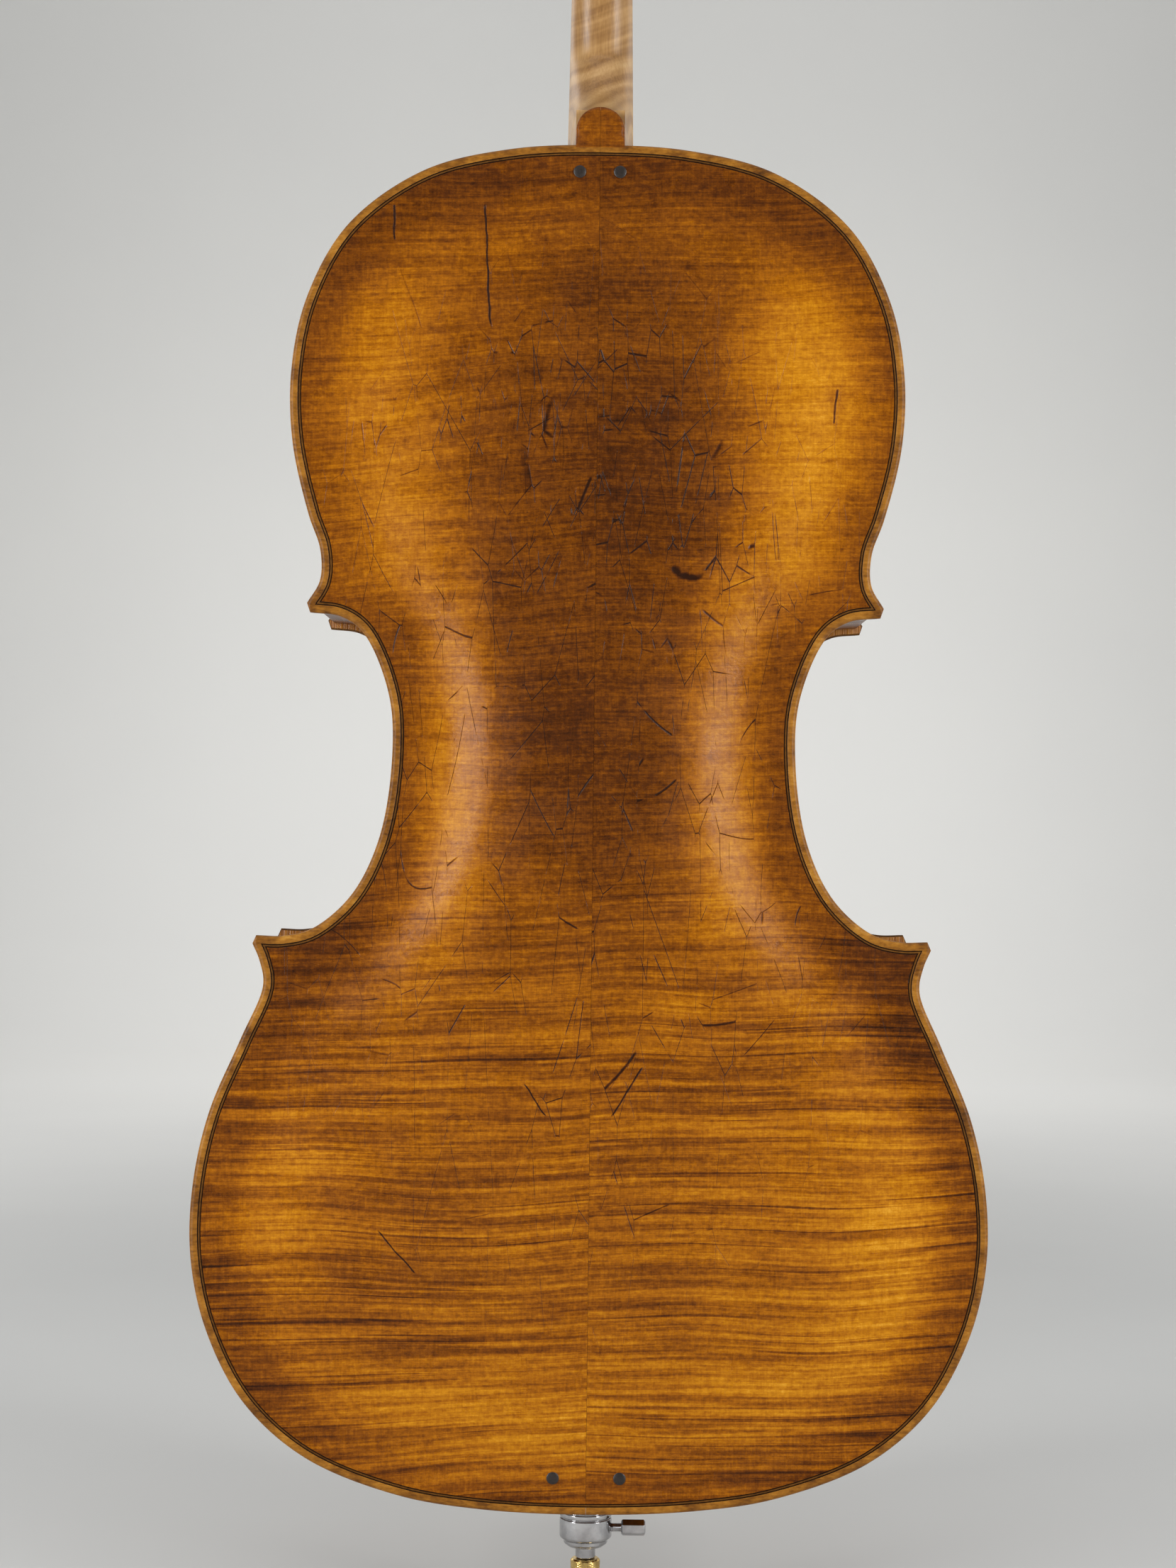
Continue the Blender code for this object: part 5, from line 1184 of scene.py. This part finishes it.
def build_peg(letter):
    side = PEG_SIDE[letter]
    a, b, half, rows = peg_rows(letter)
    shank = dense(rows[:2], 6)
    collar = dense((rows[1], (half + 0.0092, 0.0076, 0.0076), rows[2],
                    (half + 0.0104, 0.0091, 0.0091), (half + 0.0122, 0.0093, 0.0093),
                    (half + 0.0134, 0.0086, 0.0086), (half + 0.0138, 0.0074, 0.0074),
                    (half + 0.0146, 0.0072, 0.0072), rows[4]), 3)
    thumb = dense(rows[4:], 7)
    sections = []
    for x, wide, thick in (*shank[:-1], *collar[:-1], *thumb):
        reach = (x - half - 0.0185) / 0.03
        pinch = 0.30 * max(0.0, math.sin(math.pi * min(max(reach, 0), 1)))
        section = []
        for i in range(48):
            angle = math.tau * i / 48
            u, v = math.cos(angle), math.sin(angle)
            v *= 1 - pinch * (1 - u * u)
            section.append(head_point(a + wide * u, b + thick * v, side * x))
        sections.append(section)
    tip = rows[-1][0]
    add_piece(f"peg_{letter}_turned", skin(sections), ROSEWOOD, f"peg_{letter}",
              f"peg_{letter}", 45)
    pip = ((0.0022, tip - 0.001), (0.0022, tip), (0.0017, tip + 0.0004), (0.0004, tip + 0.0006))
    sections = [[head_point(a + u, b + v, side * x) for u, v in circle(radius, 24)]
                for radius, x in pip]
    add_piece(f"peg_{letter}_pip", skin(sections), BONE, (), f"peg_{letter}")


def build_head():
    made = add_piece("head_carving", pegbox_shape(), HEAD_MAPLE, "head", smooth=38)
    cut(made, scroll_shape(), "UNION", HEAD_MAPLE)
    cut(made, slot_shape(), finish=HEAD_MAPLE)
    for letter in STRING_ORDER:
        side = PEG_SIDE[letter]
        a, b, half, _ = peg_rows(letter)
        sections = []
        for x, radius in ((-half - 0.004, 0.0053), (half + 0.004, PEG_RADIUS + 0.0001)):
            sections.append([head_point(a + u, b + v, side * x) for u, v in circle(radius, 40)])
        cut(made, skin(sections), finish=HEAD_MAPLE)
        build_peg(letter)
    made.data.shade_smooth()
    made.data.set_sharp_from_angle(angle=math.radians(38))


# ---------------------------------------------------------------- fittings

def plate_height(x, height, peak):
    """Level of a plate's outer surface above its gluing plane."""
    flat = np.array(((abs(x), height),))
    return float(arch_level(flat, soft_depth(flat), peak)[0])


def build_bridge():
    crown = [(x, -BRIDGE_TOP_Y - BRIDGE_RADIUS + math.sqrt(BRIDGE_RADIUS ** 2 - x ** 2))
             for x in np.linspace(0.0001, 0.0300, 24)]
    flank = np.array(((0.0312, 0.1600), (0.0268, 0.1530), (0.0262, 0.1460), (0.0310, 0.1395),
                      (0.0385, 0.1350), (0.0396, 0.1290), (0.0350, 0.1262), (0.0290, 0.1255),
                      (0.0262, 0.1205), (0.0285, 0.1130), (0.0325, 0.1040), (0.0372, 0.0950),
                      (0.0400, 0.0918), (0.0452, 0.0900)))
    arch = np.array(((0.0280, 0.0912), (0.0278, 0.0965), (0.0235, 0.1050), (0.0160, 0.1115),
                     (0.0080, 0.1148), (0.0001, 0.1158)))
    rear_z = BRIDGE_Z - BRIDGE_FOOT_THICK / 2
    low_u, high_u = 0.084, -BRIDGE_TOP_Y

    def half_outline(z):
        soles = [(x, PLATE_Y + plate_height(x, z - BODY_Z, TOP_PEAK) + 0.0002)
                 for x in np.linspace(0.0455, 0.0262, 12)]
        return [*crown, *dense(flank, 5), *soles, *dense(arch, 5)]

    faces = []
    for share in (0, 0.08, 0.5, 0.92, 1):
        face = []
        half = half_outline(rear_z + share * 0.010)
        for x, u in [*half, *((-x, u) for x, u in half[::-1])]:
            reach = (u - low_u) / (high_u - low_u)
            thick = BRIDGE_FOOT_THICK + reach * (BRIDGE_TOP_THICK - BRIDGE_FOOT_THICK)
            face.append((x, -u, rear_z + share * thick))
        faces.append(face)
    made = add_piece("bridge_plate", skin(faces), BRIDGE_MAPLE, "bridge", smooth=40)
    heart = dense(((0.0001, 0.1240), (0.0062, 0.1330), (0.0096, 0.1395), (0.0088, 0.1440),
                   (0.0045, 0.1455), (0.0001, 0.1420)), 5)
    whole = [*heart, *((-x, u) for x, u in heart[::-1])]
    cut(made, skin([[(x, -u, z) for x, u in whole] for z in (rear_z - 0.002, rear_z + 0.014)]),
        finish=BRIDGE_MAPLE)
    step = made.modifiers.new("bevel", "BEVEL")
    step.width, step.segments, step.limit_method = 0.0004, 2, "ANGLE"
    step.angle_limit = math.radians(50)


def build_tailpiece():
    rows = ((0, 0.0262, 0.0040, 0.0045), (0.003, 0.0284, 0.0047, 0.0052), (0.010, 0.0298, 0.0052, 0.0055),
            (0.050, 0.0288, 0.0055, 0.0060), (0.120, 0.0238, 0.0055, 0.0055),
            (0.200, 0.0186, 0.0055, 0.0045), (TAIL_LENGTH, 0.0158, 0.0050, 0.0035))
    sections = []
    for along, half, edge, crown in dense(rows, 6):
        along = min(max(along, 0), TAIL_LENGTH)
        section = [tail_point(along, 0, -half + 0.0006)]
        section.append(tail_point(along, 0.0008, -half))
        for t in np.linspace(-1, 1, 25):
            section.append(tail_point(along, edge + crown * (1 - abs(t) ** 1.8), t * half))
        section.append(tail_point(along, 0.0008, half))
        section.append(tail_point(along, 0, half - 0.0006))
        sections.append(section)
    made = add_piece("tailpiece_blank", skin(sections), FITTING, "tailpiece",
                     smooth=40)
    for letter in STRING_ORDER:
        x, half = TUNER_X[letter], 0.0021
        corners = ((-0.004, -0.01), (-0.004, 0.02), (0.037, 0.02), (0.037, -0.01))
        cut(made, skin([[tail_point(*corner, x + dx) for corner in corners] for dx in (-half, half)]),
            finish=FITTING)
    step = made.modifiers.new("bevel", "BEVEL")
    step.width, step.segments, step.limit_method = 0.0005, 2, "ANGLE"
    step.angle_limit = math.radians(45)
    fret = [tail_point(-0.0002, 0.0046 + 0.0044 * (1 - t * t), t * 0.0250) for t in np.linspace(-1, 1, 30)]
    tube_piece("tailpiece_rim", fret, 0.0007, FITTING, (), "body")


def build_tuner(letter):
    """A forked lever with a cross pin, and a knurled screw with a domed head."""
    x = TUNER_X[letter]
    outline = ((0.0015, 0.0150), (0.0042, 0.0150), (0.0052, 0.0062), (0.0330, 0.0042),
               (0.0345, 0.0010), (0.0060, -0.0008), (0.0020, 0.0015))
    shape = skin([[tail_point(*corner, x + dx) for corner in outline] for dx in (-0.0012, 0.0012)])
    add_piece(f"tuner_lever_{letter}_arm", shape, CHROME, f"tuner_lever_{letter}",
              f"tuner_lever_{letter}", bevel=0.00035)
    pin = lathe(rounded(((0.0001, -0.0019), (0.0012, -0.0019), (0.0012, 0.0019), (0.0001, 0.0019)),
                        0.0003), 24, (0, 0, 0), "X")
    pin.transform(Matrix.Translation(tail_point(0.0055, 0.0028, x)))
    add_piece(f"tuner_lever_{letter}_pin", pin, BRASS, (), f"tuner_lever_{letter}")
    profile = rounded(((0.0001, 0.0050), (0.0013, 0.0050), (0.0014, 0.0158), (0.0040, 0.0162),
                       (0.0040, 0.0172), (0.0031, 0.0176), (0.0031, 0.0182), (0.0042, 0.0186),
                       (0.0042, 0.0220), (0.0030, 0.0228), (0.0001, 0.0228)), 0.0003)
    sections = []
    for radius, out in profile:
        section = []
        for i in range(72):
            angle = math.tau * i / 72
            knurl = 0.00018 * (i % 3 == 0) if 0.0188 < out < 0.0218 else 0
            section.append(tail_point(0.0300 + (radius - knurl) * math.cos(angle), out,
                                      x + (radius - knurl) * math.sin(angle)))
        sections.append(section)
    add_piece(f"tuner_screw_{letter}_head", skin(sections), CHROME, f"tuner_screw_{letter}",
              f"tuner_screw_{letter}", 30)


def tube_piece(name, points, radius, finish, replaced=(), body="body", sides=16):
    """A round bar along a row of points, with closed ends."""
    points = [Vector(p) for p in points]
    sections = []
    ahead = (points[1] - points[0]).normalized()
    side = ahead.orthogonal().normalized()
    for i, point in enumerate(points):
        before = (point - points[i - 1]).normalized() if i else ahead
        after = (points[i + 1] - point).normalized() if i + 1 < len(points) else before
        ahead = (before + after).normalized()
        side = (side - ahead * side.dot(ahead)).normalized()
        other = ahead.cross(side)
        size = radius[i] if isinstance(radius, (list, tuple, np.ndarray)) else radius
        sections.append([point + side * size * math.cos(math.tau * k / sides)
                         + other * size * math.sin(math.tau * k / sides) for k in range(sides)])
    return add_piece(name, skin(sections), finish, replaced, body)


def board_top(z, x):
    half = board_half(z)
    crown = math.sqrt(BOARD_RADIUS ** 2 - x ** 2) - math.sqrt(BOARD_RADIUS ** 2 - half ** 2)
    return neck_face(z) - GAP - BOARD_EDGE - crown


def string_start(letter, nut_point, radius):
    """The string's turns on its peg, up to where it leaves for the nut."""
    side = PEG_SIDE[letter]
    a, b = PEG_PLACES[letter]
    lean_up = Vector((0, math.sin(HEAD_LEAN), math.cos(HEAD_LEAN)))
    lean_front = Vector((0, -math.cos(HEAD_LEAN), math.sin(HEAD_LEAN)))
    offset = nut_point - Vector(HEAD_BASE)
    to_nut = (offset.dot(lean_up) - a, offset.dot(lean_front) - b)
    start_x = {"c": 0.0042, "a": 0.0045, "g": 0.0035, "d": 0.0030}[letter]
    wound = PEG_RADIUS - 0.0004 + radius + GAP
    leave = math.atan2(to_nut[1], to_nut[0]) - math.acos(wound / math.hypot(*to_nut))
    pitch = 2 * radius + GAP
    points = []
    for i in range(64, -1, -1):
        angle = leave - math.tau * i / 36
        points.append(head_point(a + wound * math.cos(angle), b + wound * math.sin(angle),
                                 side * (start_x + pitch * i / 36)))
    return points


def build_string(letter):
    index = STRING_ORDER.index(letter) - 1.5
    radius = STRING_RADIUS[letter]
    nut_x, bridge_x = index * NUT_SPACING, index * BRIDGE_SPACING
    nut_z = NUT_Z + 0.004
    lift = radius + 0.0001
    nut_point = Vector((nut_x, board_top(nut_z, nut_x) - NUT_RISE - lift, nut_z))
    sag = BRIDGE_RADIUS - math.sqrt(BRIDGE_RADIUS ** 2 - bridge_x ** 2)
    bridge_z = BRIDGE_Z - BRIDGE_FOOT_THICK / 2 + BRIDGE_TOP_THICK / 2
    bridge_point = Vector((bridge_x, BRIDGE_TOP_Y + sag - lift, bridge_z))
    end = tail_point(0.0011 - GAP, 0.0128, TUNER_X[letter])
    points = string_start(letter, nut_point, radius)
    silk_top = len(points) + 2
    for one, two in ((nut_point, bridge_point), (bridge_point, end)):
        points += [one.lerp(two, t) for t in (0, 0.004, 0.03, 0.25, 0.5, 0.75, 0.97, 0.996)]
    points.append(end)
    tube_piece(f"string_{letter}_wound", points, radius, STRING_METAL[letter], f"string_{letter}")
    tube_piece(f"string_{letter}_top_silk", points[:silk_top], radius * 1.12, SILK[letter], ())
    low = [bridge_point.lerp(end, t) for t in (0.45, 0.6, 0.8, 0.995)]
    tube_piece(f"string_{letter}_end_silk", low, radius * 1.15, SILK[letter], ())
    ball = lathe(rounded(((0.0001, -0.0011), (0.0021, -0.0011), (0.0021, 0.0011), (0.0001, 0.0011)),
                         0.0004), 32, (0, 0, 0), "X")
    ball.transform(Matrix.Translation(tail_point(0.0014, 0.0128, TUNER_X[letter])))
    add_piece(f"string_{letter}_ball", ball, BRASS, ())


def build_tail_cord():
    start, leave = (tail_point(TAIL_LENGTH + along, 0.0042, TAIL_CORD_X) for along in (GAP, 0.0025))
    reach = PLUG_NECK + GAP + CORD_RADIUS
    front = SADDLE_FRONT_Y - CORD_RADIUS - GAP
    strand = [start, leave, Vector((0.0096, front - 0.0030, 0.0728)),
              Vector((0.0098, front - 0.0002, 0.0712)), Vector((0.0099, front + 0.0003, 0.0697)),
              Vector((0.0100, front + 0.0020, CORD_Z)), Vector((0.0112, -0.045, CORD_Z))]
    loop = [Vector((reach * math.cos(angle), reach * math.sin(angle), CORD_Z))
            for angle in np.linspace(math.radians(-10), math.radians(190), 13)]
    back = [Vector((-p.x, p.y, p.z)) for p in reversed(strand)]
    route = dense([tuple(p) for p in (*strand, *loop, *back)], 5)
    tube_piece("tail_cord_loop", route, CORD_RADIUS, CORD, "tail_cord", sides=20)


def build_saddle():
    rear = BODY_Z + SADDLE_DEPTH
    outline = ((-PLATE_Y, BODY_Z + 0.0004), (-PLATE_Y, rear), (-PLATE_Y - 0.0062, rear),
               (-PLATE_Y - 0.0072, rear + 0.0040), (SADDLE_FRONT_Y + 0.0020, rear + 0.0030),
               (SADDLE_FRONT_Y, rear), (SADDLE_FRONT_Y, BODY_Z + 0.0018),
               (SADDLE_FRONT_Y + 0.0014, BODY_Z + 0.0004))
    shape = skin([[(x, y, z) for y, z in outline] for x in (-SADDLE_HALF, -0.006, 0.006, SADDLE_HALF)])
    add_piece("saddle_block", shape, EBONY, "saddle", bevel=0.0005)


# ---------------------------------------------------------------- endpin

def ring_turned(profile, bore, sides, place=(0, 0, 0)):
    """A turned ring round Z with a straight bore."""
    low, high = profile[0][1], profile[-1][1]
    sections = [[(u, v, along) for u, v in circle(radius, sides)]
                for radius, along in (*profile, (bore, high), (bore, low))]
    shape = skin(sections, False)
    shape.verts.ensure_lookup_table()
    first, last = list(shape.verts)[:sides], list(shape.verts)[-sides:]
    for i in range(sides):
        j = (i + 1) % sides
        shape.faces.new((last[i], last[j], first[j], first[i]))
    return shape


def build_endpin():
    plug = rounded(((PLUG_NECK, COLLAR_TOP + 0.00005), (PLUG_NECK, 0.0700), (PLUG_FLANGE, 0.0702),
                    (PLUG_FLANGE, 0.0735), (PLUG_RADIUS, 0.0736), (0.0112, 0.108)), 0.0004)
    add_piece("endpin_plug_turned", ring_turned(plug, BORE_RADIUS, 64), EBONY, "endpin_plug")
    profile = [(0.0094, COLLAR_BOTTOM), (0.0104, 0.0378), (0.0108, 0.0386), (0.0122, 0.0392),
               (0.0126, 0.0400), (0.0126, 0.0414), (0.0146, 0.0428), (0.0150, 0.0436)]
    for groove in (0.0545, 0.0580):
        profile += [(0.0150, groove - 0.0006), (0.0143, groove - 0.0002), (0.0143, groove + 0.0002),
                    (0.0150, groove + 0.0006)]
    profile += [(0.01525, 0.0592), (0.01525, 0.0628), (0.0147, 0.0640), (0.0130, COLLAR_TOP)]
    collar = add_piece("endpin_collar_turned", ring_turned(rounded(profile, 0.0005), BORE_RADIUS, 96),
                       CHROME, "endpin_collar", smooth=30)
    cut(collar, lathe(((THUMB_RADIUS + 0.0002, -0.020), (THUMB_RADIUS + 0.0002, 0)), 40,
                      (0, 0, THUMB_Z), "X"))
    rod = [(0.0001, ROD_LOW), (ROD_RADIUS, ROD_LOW), (ROD_RADIUS, ROD_TOP - 0.002), (0.0040, ROD_TOP),
           (0.0001, ROD_TOP)]
    add_piece("endpin_rod_steel", lathe(rounded(rod, 0.0005), 64), CHROME, "endpin_rod", "endpin")
    sections = []
    for z in np.concatenate(([FERRULE_LOW, 0.0119, 0.0124], np.linspace(0.0128, 0.0288, 64),
                             [0.0292, 0.0298, FERRULE_TOP])):
        section = []
        plain = 0.0074 + 0.0011 * min(1, (z - FERRULE_LOW) / 0.0009, (FERRULE_TOP - z) / 0.0009)
        for i in range(180):
            angle = math.tau * i / 180
            cross = abs(math.sin(9 * angle + z * 2400)) + abs(math.sin(9 * angle - z * 2400))
            cut_in = 0.00028 * (1 - cross / 2) if 0.0127 < z < 0.0289 else 0
            section.append(((plain - cut_in) * math.cos(angle), (plain - cut_in) * math.sin(angle), z))
        sections.append(section)
    add_piece("endpin_ferrule_knurled", skin(sections), BRASS, "endpin_ferrule", "endpin")
    tip = ((0.0001, 0), (0.0045, 0), (0.0062, 0.0012), (0.0068, 0.0030), (0.0070, 0.0045),
           (0.0074, FERRULE_LOW - 0.0001), (0.0001, FERRULE_LOW - 0.0001))
    add_piece("endpin_tip_moulded", lathe(rounded(tip, 0.0006), 64), RUBBER, "endpin_tip", "endpin")
    near, far = THUMB_KNOB
    sections = []
    for i, x in enumerate(np.linspace(-BORE_RADIUS - 0.0004, near, 120)):
        depth = 0.00022 * (0.5 + 0.5 * math.sin(i * math.tau / 6)) if x < -0.0075 else 0.0002
        sections.append([(x, u, THUMB_Z + v) for u, v in circle(THUMB_RADIUS - depth, 40)])
    add_piece("thumbscrew_thread", skin(sections), CHROME, (), "thumbscrew")
    knob = ((near, 0.0036), (near - 0.0009, 0.0047), (far + 0.0009, 0.0047), (far, 0.0036))
    sections = [[(x, u, THUMB_Z + v) for u, v in circle(radius, 6, 0.5)] for x, radius in knob]
    add_piece("thumbscrew_knob", skin(sections), CHROME, "thumbscrew", "thumbscrew",
              bevel=0.0003)


# ---------------------------------------------------------------- studio

WALL_RADIUS, WALL_BEND = 5.2, 1.2
BACK_RIM_Y = PLATE_Y + 0.0045
CAMERA_DISTANCE, CAMERA_Z = 1.52, 0.440
HALF_VIEW, CAMERA_ROLL = math.radians(15.85), math.radians(0.62)
LIGHTS = (("softbox_left", (1.45, 1.05, 0.75), (0.05, 0.0, 0.50), (0.40, 1.4), 27),
          ("softbox_right", (-1.45, 1.05, 0.85), (-0.05, 0.0, 0.55), (0.40, 1.4), 25),
          ("overhead", (0.0, 0.6, 2.9), (0.0, 0.0, 0.5), (1.8, 1.8), 8),
          ("front_left", (1.6, -1.9, 1.5), (0.0, 0.0, 0.6), (1.2, 1.6), 10),
          ("front_right", (-1.8, -1.6, 1.2), (0.0, 0.0, 0.6), (1.2, 1.6), 7))


def backdrop():
    """A pale floor that curves up into a round wall, with a painted glow: its own emission makes it
    brighter behind the cello and dimmer towards the camera's side, the far sides and up the wall.
    """
    paint = Finish("backdrop", 0.9)
    grain = paint.noise(paint.scaled((3, 3, 3)), 2.0)
    paint.colour(paint.mix(grain, (0.60, 0.60, 0.585), (0.64, 0.64, 0.62)))
    flat = paint.plus(paint.times(paint.x, paint.x), paint.times(paint.y, paint.y))
    painted_glow = paint.span(paint.math("SQRT", flat), 1.2, 3.6)
    painted_glow = paint.times(painted_glow, paint.span(paint.y, 2.0, -2.0, 0.45, 1.0))
    painted_glow = paint.times(painted_glow, paint.span(paint.math("ABSOLUTE", paint.x), 0.4, 2.2, 1.0, 0.42))
    fade = paint.span(paint.z, 0.3, 2.6, 0.0, 0.165)
    # painted light: the backdrop glows though it is no lamp, from 1.2 m out and most beyond 3.6 m
    paint.surface.inputs["Emission Color"].default_value = (1.0, 0.985, 0.95, 1)
    paint.put(paint.surface.inputs["Emission Strength"], paint.times(painted_glow, paint.minus(0.41, fade)))
    bends = np.linspace(0, math.pi / 2, 16)
    profile = [(1.2, 0.0), (2.5, 0.0)]
    profile += [(WALL_RADIUS - WALL_BEND + WALL_BEND * math.sin(t), WALL_BEND - WALL_BEND * math.cos(t))
                for t in bends]
    profile += [(WALL_RADIUS, 2.5), (WALL_RADIUS, 4.5)]
    shape = skin([[(u, v, z) for u, v in circle(radius, 96)] for radius, z in profile], False)
    shape.faces.new(list(shape.verts)[:96])
    bmesh.ops.reverse_faces(shape, faces=shape.faces)
    add_piece("studio_floor", shape, paint.made, (), None)


def lights():
    """Two tall softboxes behind the camera, soft fill all round."""
    for name, place, aim, size, power in LIGHTS:
        light = bpy.data.lights.new(name, "AREA")
        light.shape = "RECTANGLE"
        light.size, light.size_y = size
        light.energy = power
        made = bpy.data.objects.new(name, light)
        made.location = place
        made.rotation_euler = (Vector(aim) - Vector(place)).to_track_quat("-Z", "Y").to_euler()
        made.visible_camera = False
        bpy.context.scene.collection.objects.link(made)
    world = bpy.data.worlds.new("studio")
    world.use_nodes = True
    world.node_tree.nodes["Background"].inputs[0].default_value = (0.93, 0.95, 1.0, 1)
    world.node_tree.nodes["Background"].inputs[1].default_value = 0.40
    bpy.context.scene.world = world
    bpy.context.scene.view_settings.view_transform = "Standard"


def camera():
    """Level with the waist, square to the back, a metre and a half away."""
    lens = bpy.data.cameras.new("camera")
    lens.sensor_width = 36
    lens.lens = lens.sensor_width / 2 / math.tan(HALF_VIEW)
    lens.shift_x, lens.shift_y = -0.0047, 0.038
    lens.clip_start, lens.clip_end = 0.05, 50
    made = bpy.data.objects.new("camera", lens)
    made.location = (-0.0014, BACK_RIM_Y + CAMERA_DISTANCE, CAMERA_Z)
    turn = Matrix(((-1, 0, 0), (0, 0, 1), (0, 1, 0))).transposed()
    made.rotation_euler = (turn @ Matrix.Rotation(CAMERA_ROLL, 3, "Z")).to_euler()
    bpy.context.scene.collection.objects.link(made)
    bpy.context.scene.camera = made


# ---------------------------------------------------------------- whole cello

camera()
backdrop()
lights()
for body_side, side_word in SIDES:
    build_plates(body_side, side_word)
    build_ribs(body_side, side_word)
purfling("purfling_back_strips", 1)
cut(purfling("purfling_top_strips", -1), heel_block(CLEAR))
build_pins()
build_neck()
build_board()
build_head()
build_bridge()
build_tailpiece()
build_saddle()
for string_letter in STRING_ORDER:
    build_tuner(string_letter)
    build_string(string_letter)
build_tail_cord()
build_endpin()
for node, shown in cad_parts.items():
    for starts, finish in ((("bass_bar", "soundpost"), BARE_SPRUCE), (("block_", "lining_"), WILLOW)):
        if node.startswith(starts):
            shown.data.materials.clear()
            shown.data.materials.append(finish)
